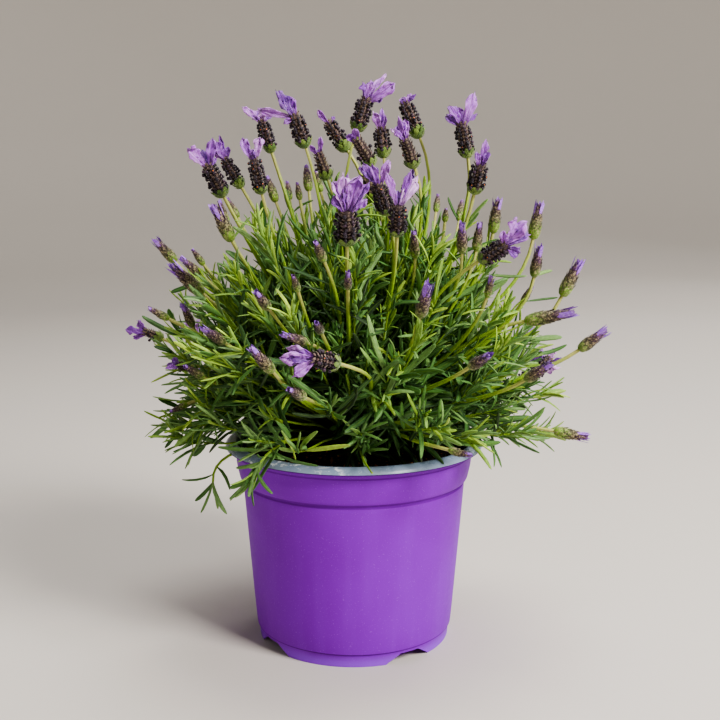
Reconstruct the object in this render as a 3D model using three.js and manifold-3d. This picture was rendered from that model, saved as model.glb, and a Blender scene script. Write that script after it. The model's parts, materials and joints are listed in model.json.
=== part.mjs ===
// A potted Spanish lavender: plastic nursery pot, peat, and a bushy plant with dark flower spikes
// that carry violet tufts. Millimetres, +Z up, origin on the ground under the middle of the pot.
import * as THREE from 'three';
import { mergeVertices } from 'three/addons/utils/BufferGeometryUtils.js';
import Module from 'manifold-3d';

const wasm = await Module();
wasm.setup();

// ---- driving dimensions ----------------------------------------------------------------------

const potHeight = 150;
const lipRadius = 95;
const mouthRadius = 85.3;        // inside of the collar
const footRadius = 71.2;
const footHeight = 9.2;
const potWall = 1.6;
const potSides = 36;
const notchHeight = 7.2;
const notchAngles = [34, 124, 214, 304];   // degrees from the front, towards +X
const drainHoles = 6;
const drainRadius = 5;
const drainCircle = 52;

const gap = 0.35;                // between pieces that touch
const soilTop = 137;
const soilSides = 18;
const crownRadius = 9;
const crownFoot = 108;           // the crown reaches down into the soil to here
const crownTop = 149;

const domeRadius = 168;          // leaf tips reach this far from the crown
const coreSides = 9;

const leafLength = 38;
const leafWidth = 4.4;
const leafThickness = 1.3;
const stemRadius = 1.7;
const stalkRadius = 1.25;

const spikeRadius = 6.2;
const spikeRows = 7;
const spikeSides = 6;
const budRadius = 4.4;
const bractLength = 21;
const bractWidth = 10.5;
const bractThickness = 1.5;

// ---- colours ---------------------------------------------------------------------------------

function finish(colour, roughness) {
  return new THREE.MeshStandardMaterial({ color: colour, roughness, metalness: 0, side: THREE.DoubleSide });
}

const finishes = {
  pot: finish(0x8b46be, 0.38),
  soil: finish(0x2c2019, 0.95),
  foliage: finish(0x4a7f2e, 0.6),
  spike: finish(0x1d1226, 0.7),
  bracts: finish(0x9a62cf, 0.55),
};

// ---- where each head is seen -----------------------------------------------------------------

// The eye that sees the plant, in the pot's frame: heads are placed by where it sees them in a
// picture 720 wide and high, and by how far behind the pot's axis they stand.
const eye = { x: 4.6, y: -801.3, z: 340.1, pitch: 9.4, focal: 1103.6, middle: 360 };

function seen(across, down, depth) {
  const pitch = THREE.MathUtils.degToRad(eye.pitch);
  const right = (across - eye.middle) / eye.focal;
  const rise = (eye.middle - down) / eye.focal;
  const forward = Math.cos(pitch) + rise * Math.sin(pitch);
  const upward = rise * Math.cos(pitch) - Math.sin(pitch);
  const reach = (depth - eye.y) / forward;
  return new THREE.Vector3(eye.x + right * reach, depth, eye.z + upward * reach);
}

// Open heads: the two ends of the dark spike, and the size of its tuft.
const openHeads = [
  { foot: seen(219, 198, -20), tip: seen(203, 165, -24), tuft: 1.0 },
  { foot: seen(242, 188, 25), tip: seen(221, 157, 28), tuft: 0.9 },
  { foot: seen(263, 194, -48), tip: seen(253, 158, -54), tuft: 0.95 },
  { foot: seen(274, 153, 12), tip: seen(261, 121, 14), tuft: 0.9 },
  { foot: seen(309, 148, -18), tip: seen(296, 115, -20), tuft: 1.1 },
  { foot: seen(348, 151, 48), tip: seen(329, 124, 54), tuft: 0.7 },
  { foot: seen(328, 180, 14), tip: seen(319, 155, 15), tuft: 0.75 },
  { foot: seen(356, 132, -4), tip: seen(366, 100, -4), tuft: 1.15 },
  { foot: seen(384, 158, 40), tip: seen(381, 130, 45), tuft: 0.7 },
  { foot: seen(373, 166, -31), tip: seen(357, 140, -35), tuft: 0.6 },
  { foot: seen(420, 138, 30), tip: seen(405, 104, 34), tuft: 0.6 },
  { foot: seen(415, 168, -32), tip: seen(405, 140, -37), tuft: 0.9 },
  { foot: seen(468, 158, 4), tip: seen(462, 125, 4), tuft: 1.1 },
  { foot: seen(474, 194, -42), tip: seen(480, 166, -48), tuft: 0.8 },
  { foot: seen(347, 245, -94), tip: seen(347, 212, -104), tuft: 1.4, stout: 1.35 },
  { foot: seen(397, 236, -92), tip: seen(398, 206, -102), tuft: 1.2 },
  { foot: seen(388, 215, -64), tip: seen(378, 185, -71), tuft: 0.85 },
  { foot: seen(376, 202, 26), tip: seen(366, 176, 30), tuft: 0.6 },
  { foot: seen(404, 200, 20), tip: seen(410, 182, 22), tuft: 0.5, stout: 0.8 },
  { foot: seen(479, 261, -88), tip: seen(506, 245, -96), tuft: 1.2 },
  { foot: seen(340, 364, -140), tip: seen(314, 358, -147), tuft: 1.2 },
  { foot: seen(163, 339, 38), tip: seen(146, 332, 42), tuft: 0.85, stout: 0.85 },
  { foot: seen(190, 366, -34), tip: seen(178, 366, -40), tuft: 0.5, stout: 0.7 },
];

// Heads that are still shut: dull green and mauve ovals on their stalks.
const budHeads = [
  { foot: seen(232, 241, -38), tip: seen(213, 204, -44) },
  { foot: seen(227, 225, 15), tip: seen(219, 200, 17) },
  { foot: seen(238, 218, 52), tip: seen(227, 198, 58) },
  { foot: seen(176, 262, 10), tip: seen(154, 239, 12) },
  { foot: seen(201, 275, -32), tip: seen(180, 257, -36) },
  { foot: seen(204, 265, 32), tip: seen(192, 249, 36) },
  { foot: seen(203, 294, -22), tip: seen(170, 264, -26) },
  { foot: seen(276, 202, 38), tip: seen(267, 176, 42) },
  { foot: seen(290, 200, 68), tip: seen(287, 181, 74) },
  { foot: seen(300, 200, 24), tip: seen(297, 182, 26) },
  { foot: seen(309, 191, 70), tip: seen(306, 165, 78) },
  { foot: seen(321, 192, 46), tip: seen(315, 170, 50) },
  { foot: seen(436, 212, 58), tip: seen(438, 194, 64) },
  { foot: seen(445, 222, 18), tip: seen(446, 208, 20) },
  { foot: seen(459, 221, 66), tip: seen(462, 200, 74) },
  { foot: seen(493, 233, -6), tip: seen(498, 198, -6) },
  { foot: seen(533, 239, 12), tip: seen(540, 202, 14) },
  { foot: seen(462, 253, -64), tip: seen(462, 222, -72) },
  { foot: seen(476, 251, -18), tip: seen(480, 222, -20) },
  { foot: seen(534, 277, -26), tip: seen(540, 245, -30) },
  { foot: seen(415, 258, -54), tip: seen(414, 230, -60) },
  { foot: seen(562, 296, -8), tip: seen(581, 259, -10) },
  { foot: seen(525, 321, -52), tip: seen(576, 312, -64) },
  { foot: seen(579, 350, -36), tip: seen(608, 329, -40) },
  { foot: seen(525, 380, -82), tip: seen(552, 363, -92) },
  { foot: seen(554, 431, -44), tip: seen(589, 438, -48) },
  { foot: seen(420, 317, -106), tip: seen(429, 283, -118) },
  { foot: seen(470, 367, -124), tip: seen(491, 354, -140) },
  { foot: seen(449, 450, -104), tip: seen(472, 456, -112) },
  { foot: seen(269, 309, -102), tip: seen(255, 291, -116) },
  { foot: seen(225, 343, -76), tip: seen(201, 327, -86) },
  { foot: seen(193, 327, -8), tip: seen(182, 303, -10) },
  { foot: seen(169, 319, -20), tip: seen(148, 308, -24) },
  { foot: seen(273, 372, -118), tip: seen(250, 347, -128) },
  { foot: seen(204, 377, -62), tip: seen(184, 366, -72) },
  { foot: seen(308, 343, -108), tip: seen(281, 334, -116) },
  { foot: seen(304, 397, -134), tip: seen(288, 389, -152) },
  { foot: seen(324, 261, -96), tip: seen(315, 241, -108) },
  { foot: seen(187, 404, -40), tip: seen(170, 412, -46) },
  { foot: seen(298, 291, -108), tip: seen(293, 275, -118) },
  { foot: seen(321, 332, -126), tip: seen(316, 322, -142) },
  { foot: seen(348, 289, -102), tip: seen(348, 271, -112) },
  { foot: seen(487, 297, -70), tip: seen(492, 276, -76) },
  { foot: seen(522, 303, -14), tip: seen(533, 285, -16) },
];

// Leafy shoots that hang out over the lip: where each ends, and the way it hangs.
const hangingShoots = [
  { foot: seen(213, 458, -46), direction: new THREE.Vector3(-0.3, -0.2, -0.93) },
  { foot: seen(256, 466, -84), direction: new THREE.Vector3(-0.2, -0.5, -0.84) },
  { foot: seen(182, 408, -14), direction: new THREE.Vector3(-0.82, -0.1, -0.55) },
  { foot: seen(196, 428, -58), direction: new THREE.Vector3(-0.7, -0.4, -0.6) },
  { foot: seen(506, 428, -46), direction: new THREE.Vector3(0.85, -0.3, -0.42) },
];

// The side that the eye doesn't see carries heads too, spread evenly by a rule; every third is open.
const hiddenHeadCount = 14;

// ---- chance ----------------------------------------------------------------------------------

// An even draw from 0 to 1 that depends only on the two counts it is given.
function chance(count, kind) {
  const wave = Math.sin(count * 12.9898 + kind * 78.233) * 43758.5453;
  return wave - Math.floor(wave);
}

function between(low, high, count, kind) {
  return low + (high - low) * chance(count, kind);
}

// ---- solids ----------------------------------------------------------------------------------

// A three.js geometry as a solid that can be joined and cut.
function solid(geometry) {
  const bare = geometry.clone();
  bare.deleteAttribute('normal');
  bare.deleteAttribute('uv');
  const merged = mergeVertices(bare, 1e-4);
  return new wasm.Manifold(new wasm.Mesh({
    numProp: 3,
    vertProperties: new Float32Array(merged.attributes.position.array),
    triVerts: new Uint32Array(merged.index.array),
  }));
}

function geometryOf(manifold) {
  const got = manifold.getMesh();
  const geometry = new THREE.BufferGeometry();
  geometry.setAttribute('position', new THREE.BufferAttribute(got.vertProperties, 3));
  geometry.setIndex(new THREE.BufferAttribute(got.triVerts, 1));
  return geometry;
}

// Joins solids that grow together, and keeps the one body: hollows sealed inside are filled.
// Slivers finer than the tolerance, which joining leaves where skins cross, are merged away.
const sliver = 0.03;

function fused(solids) {
  const bodies = wasm.Manifold.union(solids).simplify(sliver).decompose();
  bodies.sort((a, b) => b.volume() - a.volume());
  return bodies[0];
}

// A closed skin through rings of points. A ring of one point is a pointed end.
function skin(rings) {
  const positions = [];
  const faces = [];
  const starts = rings.map((ring) => {
    const start = positions.length / 3;
    ring.forEach((point) => positions.push(point.x, point.y, point.z));
    return start;
  });
  for (let i = 0; i + 1 < rings.length; i += 1) {
    const sides = Math.max(rings[i].length, rings[i + 1].length);
    for (let j = 0; j < sides; j += 1) {
      const next = (j + 1) % sides;
      const low = [starts[i] + (rings[i].length > 1 ? j : 0), starts[i] + (rings[i].length > 1 ? next : 0)];
      const high = [starts[i + 1] + (rings[i + 1].length > 1 ? j : 0),
        starts[i + 1] + (rings[i + 1].length > 1 ? next : 0)];
      if (low[0] !== low[1]) faces.push(low[0], low[1], high[1]);
      if (high[0] !== high[1]) faces.push(low[0], high[1], high[0]);
    }
  }
  capRing(rings[0], starts[0], faces, true);
  capRing(rings[rings.length - 1], starts[rings.length - 1], faces, false);
  const geometry = new THREE.BufferGeometry();
  geometry.setAttribute('position', new THREE.Float32BufferAttribute(positions, 3));
  geometry.setIndex(faces);
  return geometry;
}

function capRing(ring, start, faces, first) {
  for (let j = 1; j + 1 < ring.length; j += 1) {
    if (first) faces.push(start, start + j + 1, start + j);
    else faces.push(start, start + j, start + j + 1);
  }
}

// Two directions square to a third, the first as near a wished one as it can be.
function crossways(direction, wished = new THREE.Vector3(-direction.y, direction.x, 0)) {
  const across = wished.clone().addScaledVector(direction, -wished.dot(direction)).normalize();
  return [across, new THREE.Vector3().crossVectors(direction, across).normalize()];
}

// A ring of points round a middle, square to a direction.
function ringAt(middle, direction, radius, sides, turn = 0, wished = undefined) {
  const [across, over] = crossways(direction, wished);
  const radiusAt = typeof radius === 'function' ? radius : () => radius;
  return Array.from({ length: sides }, (_, j) => {
    const angle = turn + (j / sides) * Math.PI * 2;
    return middle.clone()
      .addScaledVector(across, Math.cos(angle) * radiusAt(j))
      .addScaledVector(over, Math.sin(angle) * radiusAt(j));
  });
}

// The rings of a stem along part of a curve, thinner towards its end. A bent stem has one more.
function stemRings(curve, from, startRadius, endRadius, sides) {
  const bend = curve.getTangent(from).angleTo(curve.getTangent(1));
  const steps = bend > 0.6 ? 3 : 2;
  return Array.from({ length: steps + 1 }, (_, i) => {
    const t = from + ((1 - from) * i) / steps;
    const radius = startRadius + ((endRadius - startRadius) * i) / steps;
    return ringAt(curve.getPoint(t), curve.getTangent(t), radius, sides, Math.PI / 4, curve.side);
  });
}

function lathe(profile, sides) {
  const points = profile.map(([radius, height]) => new THREE.Vector2(radius, height));
  const geometry = new THREE.LatheGeometry(points, sides);
  geometry.rotateX(Math.PI / 2);
  return geometry;
}

// ---- pot -------------------------------------------------------------------------------------

function potProfile() {
  const floor = footHeight - 0.6;
  return [
    [0, floor], [footRadius - potWall - 0.5, floor], [footRadius - potWall - 0.5, 0],
    [footRadius, 0], [footRadius + 0.7, footHeight - 0.4], [footRadius + 1.9, footHeight + 0.5],
    [82.2, 116.4], [84, 119.4], [87, 132.4], [87.4, 141], [88.8, 142],
    [89, 145], [94.2, 145], [lipRadius, 146.2], [92.6, 149.1], [88.6, potHeight],
    [86.6, 148.6], [mouthRadius, 132], [80.8, 116.4],
    [footRadius + 0.4, floor + potWall], [0, floor + potWall],
  ];
}

function notch(angle) {
  const foot = new THREE.Shape([
    new THREE.Vector2(-20, -2), new THREE.Vector2(20, -2), new THREE.Vector2(18.6, 0),
    new THREE.Vector2(7.6, notchHeight), new THREE.Vector2(-7.6, notchHeight), new THREE.Vector2(-18.6, 0),
  ]);
  const geometry = new THREE.ExtrudeGeometry(foot, { depth: 24, bevelEnabled: false });
  geometry.rotateX(Math.PI / 2);
  geometry.translate(0, -(footRadius - 16), 0);
  geometry.rotateZ(THREE.MathUtils.degToRad(angle));
  return solid(geometry);
}

function drainHole(index) {
  const geometry = new THREE.CylinderGeometry(drainRadius, drainRadius, 8, 10);
  geometry.rotateX(Math.PI / 2);
  const angle = ((index + 0.5) / drainHoles) * Math.PI * 2;
  geometry.translate(Math.cos(angle) * drainCircle, Math.sin(angle) * drainCircle, footHeight);
  return solid(geometry);
}

function makePot() {
  let pot = solid(lathe(potProfile(), potSides));
  notchAngles.forEach((angle) => { pot = pot.subtract(notch(angle)); });
  for (let i = 0; i < drainHoles; i += 1) pot = pot.subtract(drainHole(i));
  return pot;
}

// ---- soil ------------------------------------------------------------------------------------

// Peat fills the pot. Its top is crumbly: low bumps, with a plain hole where the crown stands.
function makeSoil() {
  const floor = footHeight - 0.6 + potWall + gap;
  const rings = [
    [footRadius - 0.8, floor, 0], [79.8, 115.6, 0], [84, 132.4, 0],
    [84, soilTop - 3, 1], [64, soilTop, 2.5], [40, soilTop - 1, 3], [20, soilTop, 3],
  ];
  const bottom = new THREE.Vector3(0, 0, floor);
  const top = new THREE.Vector3(0, 0, soilTop);
  const body = rings.map(([radius, height, bump], i) => Array.from({ length: soilSides }, (_, j) => {
    const angle = ((j + (i > 3 ? (i % 2) * 0.5 : 0)) / soilSides) * Math.PI * 2;
    const lift = bump * (chance(i * soilSides + j, 3) - 0.5);
    return new THREE.Vector3(Math.cos(angle) * radius, Math.sin(angle) * radius, height + lift);
  }));
  const soil = solid(skin([[bottom], ...body, [top]]));
  const holeRadius = (crownRadius + gap) / Math.cos(Math.PI / 12);
  const hole = new THREE.CylinderGeometry(holeRadius, holeRadius, 60, 12);
  hole.rotateX(Math.PI / 2);
  hole.translate(0, 0, crownFoot - gap + 30);
  return soil.subtract(solid(hole));
}

// ---- heads -----------------------------------------------------------------------------------

function headOf({ foot, tip, tuft = 1, stout = 1 }) {
  const direction = tip.clone().sub(foot);
  const length = direction.length();
  direction.normalize();
  return { foot, tip, direction, length, tuft, stout };
}

// Heads on the far side: the same heights and lean as those in front, spread evenly over it.
function hiddenHeads() {
  return Array.from({ length: hiddenHeadCount }, (_, i) => {
    const around = THREE.MathUtils.degToRad(10 + 160 * ((0.3 + i * 0.7549) % 1));
    const rise = THREE.MathUtils.degToRad(8 + 34 * ((0.6 + i * 0.5698) % 1));
    const out = new THREE.Vector3(
      Math.cos(around) * Math.cos(rise), Math.sin(around) * Math.cos(rise), Math.sin(rise));
    const foot = new THREE.Vector3(0, 0, crownTop).addScaledVector(out, between(138, 146, i, 71));
    const lean = out.clone().add(new THREE.Vector3(0, 0, 0.5)).normalize();
    return { foot, tip: foot.clone().addScaledVector(lean, 25), open: i % 3 === 1 };
  });
}

// The stalk rises from the crown and comes into the head along the head's own direction.
function stalkCurve(head) {
  const around = Math.atan2(head.foot.y, head.foot.x);
  const start = new THREE.Vector3(Math.cos(around) * 4, Math.sin(around) * 4, crownTop - 8);
  const across = head.foot.clone().sub(start);
  const distance = across.length();
  const leave = across.normalize().add(new THREE.Vector3(0, 0, 0.55)).normalize();
  const curve = new THREE.CubicBezierCurve3(
    start,
    start.clone().addScaledVector(leave, distance * 0.36),
    head.foot.clone().addScaledVector(head.direction, -distance * 0.3),
    head.foot.clone(),
  );
  curve.side = new THREE.Vector3(-Math.sin(around), Math.cos(around), 0);
  return curve;
}

// Florets stand out of the spike in rings, each ring set half a floret round from the last.
function makeSpike(head) {
  const rings = [];
  for (let i = 0; i <= spikeRows; i += 1) {
    const t = i / spikeRows;
    const girth = 0.62 + 0.38 * Math.sin(Math.PI * Math.min(1, 0.22 + t * 0.86));
    const middle = head.foot.clone().addScaledVector(head.direction, gap + t * (head.length - gap));
    rings.push(ringAt(middle, head.direction, (j) => {
      const floret = (i + j) % 2 === 0 ? 1.14 : 0.84;
      return spikeRadius * head.stout * girth * floret * (i === 0 || i === spikeRows ? 0.72 : 1);
    }, spikeSides));
  }
  return solid(skin(rings));
}

// A thin leaf or bract: an arched blade, pointed at both ends, with its midrib raised underneath.
// It grows along its direction, and its upper face looks along the normal.
function blade(root, direction, normal, length, width, thickness, arch, stations) {
  const side = new THREE.Vector3().crossVectors(normal, direction).normalize();
  const rings = [[root.clone()]];
  stations.forEach(({ along, wide }) => {
    const middle = root.clone()
      .addScaledVector(direction, length * along)
      .addScaledVector(normal, -arch * length * along * along);
    rings.push([
      middle.clone().addScaledVector(side, (-width / 2) * wide).addScaledVector(normal, thickness * 0.3),
      middle.clone().addScaledVector(normal, -thickness * 0.7),
      middle.clone().addScaledVector(side, (width / 2) * wide).addScaledVector(normal, thickness * 0.3),
    ]);
  });
  rings.push([root.clone().addScaledVector(direction, length).addScaledVector(normal, -arch * length)]);
  return skin(rings);
}

const bractStations = [{ along: 0.35, wide: 0.6 }, { along: 0.75, wide: 1 }];
const leafStations = [{ along: 0.5, wide: 1 }];

// The violet tuft: broad bracts that stand up and spread from the top of the spike.
function makeBracts(head, index) {
  const seat = head.tip.clone().addScaledVector(head.direction, gap);
  const knobRadius = spikeRadius * head.stout * 0.55;
  const parts = [solid(skin([
    ringAt(seat, head.direction, knobRadius, 6),
    [seat.clone().addScaledVector(head.direction, knobRadius * 1.3)],
  ]))];
  const petals = head.tuft > 0.8 ? 4 : 3;
  for (let k = 0; k < petals; k += 1) {
    const draw = index * 4 + k;
    const angle = ((k + between(-0.12, 0.12, draw, 11)) / petals) * Math.PI * 2 + index;
    const [across, over] = crossways(head.direction);
    const out = across.clone().multiplyScalar(Math.cos(angle)).addScaledVector(over, Math.sin(angle));
    const direction = head.direction.clone().addScaledVector(out, between(0.3, 0.65, draw, 12)).normalize();
    const normal = direction.clone().multiplyScalar(direction.dot(out)).sub(out).normalize();
    const root = seat.clone().addScaledVector(head.direction, 0.6).addScaledVector(out, knobRadius * 0.45);
    parts.push(solid(blade(root, direction, normal, bractLength * head.tuft * between(0.85, 1.1, draw, 13),
      bractWidth * Math.min(1.1, head.tuft + 0.15), bractThickness, 0.1, bractStations)));
  }
  return fused(parts);
}

// A shut head: an oval of overlapping scales that the stalk runs on into.
function budRings(head, side) {
  const rows = [[0.02, 0.4], [0.28, 1.1], [0.64, 0.95]];
  const rings = rows.map(([along, wide], i) => ringAt(
    head.foot.clone().addScaledVector(head.direction, along * head.length),
    head.direction, budRadius * wide, 4, Math.PI / 4 + (i % 2) * 0.6, side));
  return [...rings, [head.tip.clone()]];
}

// ---- foliage ---------------------------------------------------------------------------------

// What a leaf has to stay clear of: the pot, the soil, every open head, and what has grown already.
const grown = [];

function blocked(point, heads, margin) {
  const radius = Math.hypot(point.x, point.y);
  const abovePot = point.z > potHeight + margin;
  const overSoil = radius < mouthRadius - 3 - margin && point.z > soilTop + 2 + margin;
  const outsidePot = radius > lipRadius + margin;
  if (!abovePot && !overSoil && !outsidePot) return true;
  if (grown.some((other) => other.distanceToSquared(point) < leafWidth * leafWidth)) return true;
  return heads.some((head) => {
    const along = THREE.MathUtils.clamp(
      point.clone().sub(head.foot).dot(head.direction), -1, head.length + bractLength * head.tuft);
    const nearest = head.foot.clone().addScaledVector(head.direction, along);
    const reach = along < head.length ? spikeRadius * head.stout * 1.15 : 9 + 5 * head.tuft;
    return point.distanceTo(nearest) < reach + margin;
  });
}

// A leaf on a stem. It is turned round the stem, step by step, until it is clear of all else.
function leafAt(root, along, turn, tilt, length, heads) {
  const [across, over] = crossways(along);
  const arch = 0.14;
  for (let attempt = 0; attempt < 9; attempt += 1) {
    const angle = turn + attempt * 0.7;
    const out = across.clone().multiplyScalar(Math.cos(angle)).addScaledVector(over, Math.sin(angle));
    const direction = along.clone().multiplyScalar(Math.cos(tilt)).addScaledVector(out, Math.sin(tilt));
    const normal = along.clone().multiplyScalar(Math.sin(tilt)).addScaledVector(out, -Math.cos(tilt));
    const marks = [0.2, 0.35, 0.5, 0.65, 0.8, 0.9, 1].map((reach) => root.clone()
      .addScaledVector(direction, length * reach)
      .addScaledVector(normal, -arch * length * reach * reach));
    if (!marks.some((mark) => blocked(mark, heads, leafWidth / 2 + 0.6))) {
      grown.push(...marks);
      return solid(blade(root, direction, normal, length, leafWidth, leafThickness, arch, leafStations));
    }
  }
  return null;
}

// Leafy shoots with no flower: spread evenly over the dome, tips just inside its surface.
const leafyShoots = 42;

function leafyShootCurve(index) {
  const turn = index * 2.399963;
  const rise = Math.asin(0.02 + (0.97 * (index + 0.5)) / leafyShoots);
  const out = new THREE.Vector3(
    Math.cos(turn) * Math.cos(rise), Math.sin(turn) * Math.cos(rise), Math.sin(rise));
  const reach = domeRadius - leafLength * 0.8 + between(-10, 4, index, 21);
  const foot = new THREE.Vector3(0, 0, crownTop).addScaledVector(out, reach);
  const direction = out.clone().add(new THREE.Vector3(0, 0, between(0.1, 0.5, index, 22))).normalize();
  return stalkCurve({ foot, direction });
}

// The woody crown runs up into a smaller leafy core, rough as a clipped bush, that the outer
// shoots stand out of. Its first two rings are the crown, smooth and round.
const crownRings = 2;
const coreProfile = [
  [crownRadius, crownFoot], [crownRadius, crownTop - 10],
  [14, crownTop + 4], [26, 170], [44, 194], [60, 226], [56, 256], [34, 280],
];
const coreTop = 292;
const coreLeaves = 44;

function makeCore() {
  const rings = coreProfile.map(([radius, height], i) => Array.from({ length: coreSides }, (_, j) => {
    const woody = i < crownRings;
    const around = ((j + (woody ? 0 : (i % 2) * 0.5)) / coreSides) * Math.PI * 2;
    const rough = woody ? 1 : between(0.86, 1.12, i * coreSides + j, 31);
    return new THREE.Vector3(
      Math.cos(around) * radius * rough, Math.sin(around) * radius * rough,
      height + (woody ? 0 : between(-6, 6, i * coreSides + j, 32)));
  }));
  return solid(skin([...rings, [new THREE.Vector3(0, 0, coreTop)]]));
}

// Leaves that stand straight out of the core, evenly over it: each has a point to root in and a lean.
function coreLeafRoots() {
  return Array.from({ length: coreLeaves }, (_, i) => {
    const turn = i * 2.399963;
    const rise = Math.asin(-0.5 + (1.5 * (i + 0.5)) / coreLeaves);
    const out = new THREE.Vector3(
      Math.cos(turn) * Math.cos(rise), Math.sin(turn) * Math.cos(rise), Math.sin(rise));
    const root = new THREE.Vector3(0, 0, 226);
    while (insideCore(root)) root.addScaledVector(out, 1);
    return { root, direction: out.add(new THREE.Vector3(0, 0, 0.6)).normalize() };
  });
}

function insideCore(point) {
  const radius = Math.hypot(point.x, point.y);
  const above = coreProfile.findIndex(([, height]) => height > point.z);
  if (above < 0) return false;
  if (above === 0) return true;
  const [lowRadius, low] = coreProfile[above - 1];
  const [highRadius, high] = coreProfile[above];
  const mix = (point.z - low) / (high - low);
  return radius < 0.84 * (lowRadius + (highRadius - lowRadius) * mix) - 2;
}

// Where a curve leaves the core for the last time, so that nothing is made inside the core.
function leavesCore(curve) {
  for (let t = 0.98; t > 0; t -= 0.02) {
    if (insideCore(curve.getPoint(t))) return t;
  }
  return 0;
}

function makeFoliage(openOnes, buds) {
  const parts = [makeCore()];
  const shoots = [
    ...openOnes.map((head) => ({ curve: stalkCurve(head), leaves: [0.06, 0.34], sides: 4 })),
    ...buds.map((head) => ({ curve: stalkCurve(head), leaves: [0.08, 0.4], sides: 4, bud: head })),
    ...hangingShoots.map((shoot) => (
      { curve: stalkCurve(shoot), leaves: [0.45, 0.65, 0.8, 0.86, 0.93, 0.98], sides: 4 })),
    ...Array.from({ length: leafyShoots }, (_, i) => (
      { curve: leafyShootCurve(i), leaves: [0.1, 0.4, 0.65, 0.85, 0.96], sides: 3 })),
  ];
  shoots.forEach(({ curve, sides, bud }) => {
    const start = leavesCore(curve);
    const rings = stemRings(curve, start, stemRadius, stalkRadius, sides);
    parts.push(solid(skin(bud ? [...rings, ...budRings(bud, curve.side)] : rings)));
    for (let t = start; t < 1; t += 0.05) grown.push(curve.getPoint(t));
  });
  const addLeaf = (root, along, turn, draw) => {
    const length = leafLength * between(0.8, 1, draw, 43);
    const leaf = leafAt(root, along, turn, between(0.6, 1, draw, 42), length, openOnes);
    if (leaf) parts.push(leaf);
  };
  shoots.forEach(({ curve, leaves }, index) => {
    const start = leavesCore(curve);
    leaves.forEach((share, k) => {
      const t = start + (1 - start) * share;
      addLeaf(curve.getPoint(t), curve.getTangent(t), k * 1.9 + chance(index, 41) * 6.28, index * 9 + k);
    });
  });
  coreLeafRoots().forEach(({ root, direction }, index) => {
    addLeaf(root, direction, index * 2.4, 2000 + index);
  });
  return fused(parts);
}

// ---- the plant in its pot --------------------------------------------------------------------

const farHeads = hiddenHeads();
const openOnes = [...openHeads, ...farHeads.filter((head) => head.open)].map(headOf);
const buds = [...budHeads, ...farHeads.filter((head) => !head.open)].map(headOf);

const plant = new THREE.Group();

function place(name, manifold, material) {
  const mesh = new THREE.Mesh(geometryOf(manifold), material);
  mesh.name = name;
  plant.add(mesh);
}

place('pot', makePot(), finishes.pot);
place('soil', makeSoil(), finishes.soil);
place('foliage', makeFoliage(openOnes, buds), finishes.foliage);
openOnes.forEach((head, index) => {
  const number = String(index + 1).padStart(2, '0');
  place(`spike_${number}`, makeSpike(head), finishes.spike);
  place(`bracts_${number}`, makeBracts(head, index), finishes.bracts);
});

export default plant;
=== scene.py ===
import json
import math
import random

import bmesh
import bpy
from mathutils import Matrix, Vector, noise

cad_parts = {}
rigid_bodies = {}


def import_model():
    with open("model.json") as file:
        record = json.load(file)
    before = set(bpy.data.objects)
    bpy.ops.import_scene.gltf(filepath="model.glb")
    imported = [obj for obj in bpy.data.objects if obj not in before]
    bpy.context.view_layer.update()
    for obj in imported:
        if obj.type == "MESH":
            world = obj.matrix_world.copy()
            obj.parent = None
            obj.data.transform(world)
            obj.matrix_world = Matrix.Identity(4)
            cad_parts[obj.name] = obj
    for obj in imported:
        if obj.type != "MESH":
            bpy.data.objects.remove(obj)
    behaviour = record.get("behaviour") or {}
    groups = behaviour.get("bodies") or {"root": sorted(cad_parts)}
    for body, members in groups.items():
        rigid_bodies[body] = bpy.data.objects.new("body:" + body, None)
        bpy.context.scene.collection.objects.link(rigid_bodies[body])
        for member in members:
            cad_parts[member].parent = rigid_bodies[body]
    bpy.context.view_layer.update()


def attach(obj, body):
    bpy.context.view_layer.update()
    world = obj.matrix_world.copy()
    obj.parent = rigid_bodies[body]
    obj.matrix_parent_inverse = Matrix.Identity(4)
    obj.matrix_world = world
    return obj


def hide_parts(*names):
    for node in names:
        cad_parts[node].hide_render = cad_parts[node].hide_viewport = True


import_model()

# A Spanish lavender in its plastic nursery pot: violet outside, grey inside, filled with peat.
# Metres, +Z up, origin on the ground under the middle of the pot.


# ---- camera, light and floor -------------------------------------------------------------------
# The camera stands where the plant was seen from: 0.8 m in front and 0.34 m up, a little tilted
# down. A pale floor curves up far away on every side, and large soft lamps light it.

MM = 0.001
EYE = Vector((4.6, -801.3, 340.1)) * MM
PITCH = math.radians(9.4)
FOCAL = 1103.6                       # in pixels of a picture 720 wide and high
PICTURE_MIDDLE = 360
SENSOR = 36.0


def seen(across, down, depth):
    """The point seen at a place in the picture, at a depth in mm behind the pot's axis."""
    right = (across - PICTURE_MIDDLE) / FOCAL
    rise = (PICTURE_MIDDLE - down) / FOCAL
    forward = math.cos(PITCH) + rise * math.sin(PITCH)
    upward = rise * math.cos(PITCH) - math.sin(PITCH)
    reach = (depth * MM - EYE.y) / forward
    return Vector((EYE.x + right * reach, depth * MM, EYE.z + upward * reach))


def picture_place(point):
    """Where in the picture a point is seen: the other way round from seen()."""
    ray = point - EYE
    deep = ray.y * math.cos(PITCH) - ray.z * math.sin(PITCH)
    high = ray.y * math.sin(PITCH) + ray.z * math.cos(PITCH)
    return PICTURE_MIDDLE + FOCAL * ray.x / deep, PICTURE_MIDDLE - FOCAL * high / deep


def in_scene(name, data):
    """A new object at the origin."""
    made = bpy.data.objects.new(name, data)
    bpy.context.scene.collection.objects.link(made)
    return made


camera_data = bpy.data.cameras.new("camera")
camera_data.sensor_width = SENSOR
camera_data.lens = FOCAL / (2 * PICTURE_MIDDLE) * SENSOR
camera = in_scene("camera", camera_data)
camera.location = EYE
camera.rotation_euler = (math.pi / 2 - PITCH, 0, 0)
bpy.context.scene.camera = camera


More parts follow.
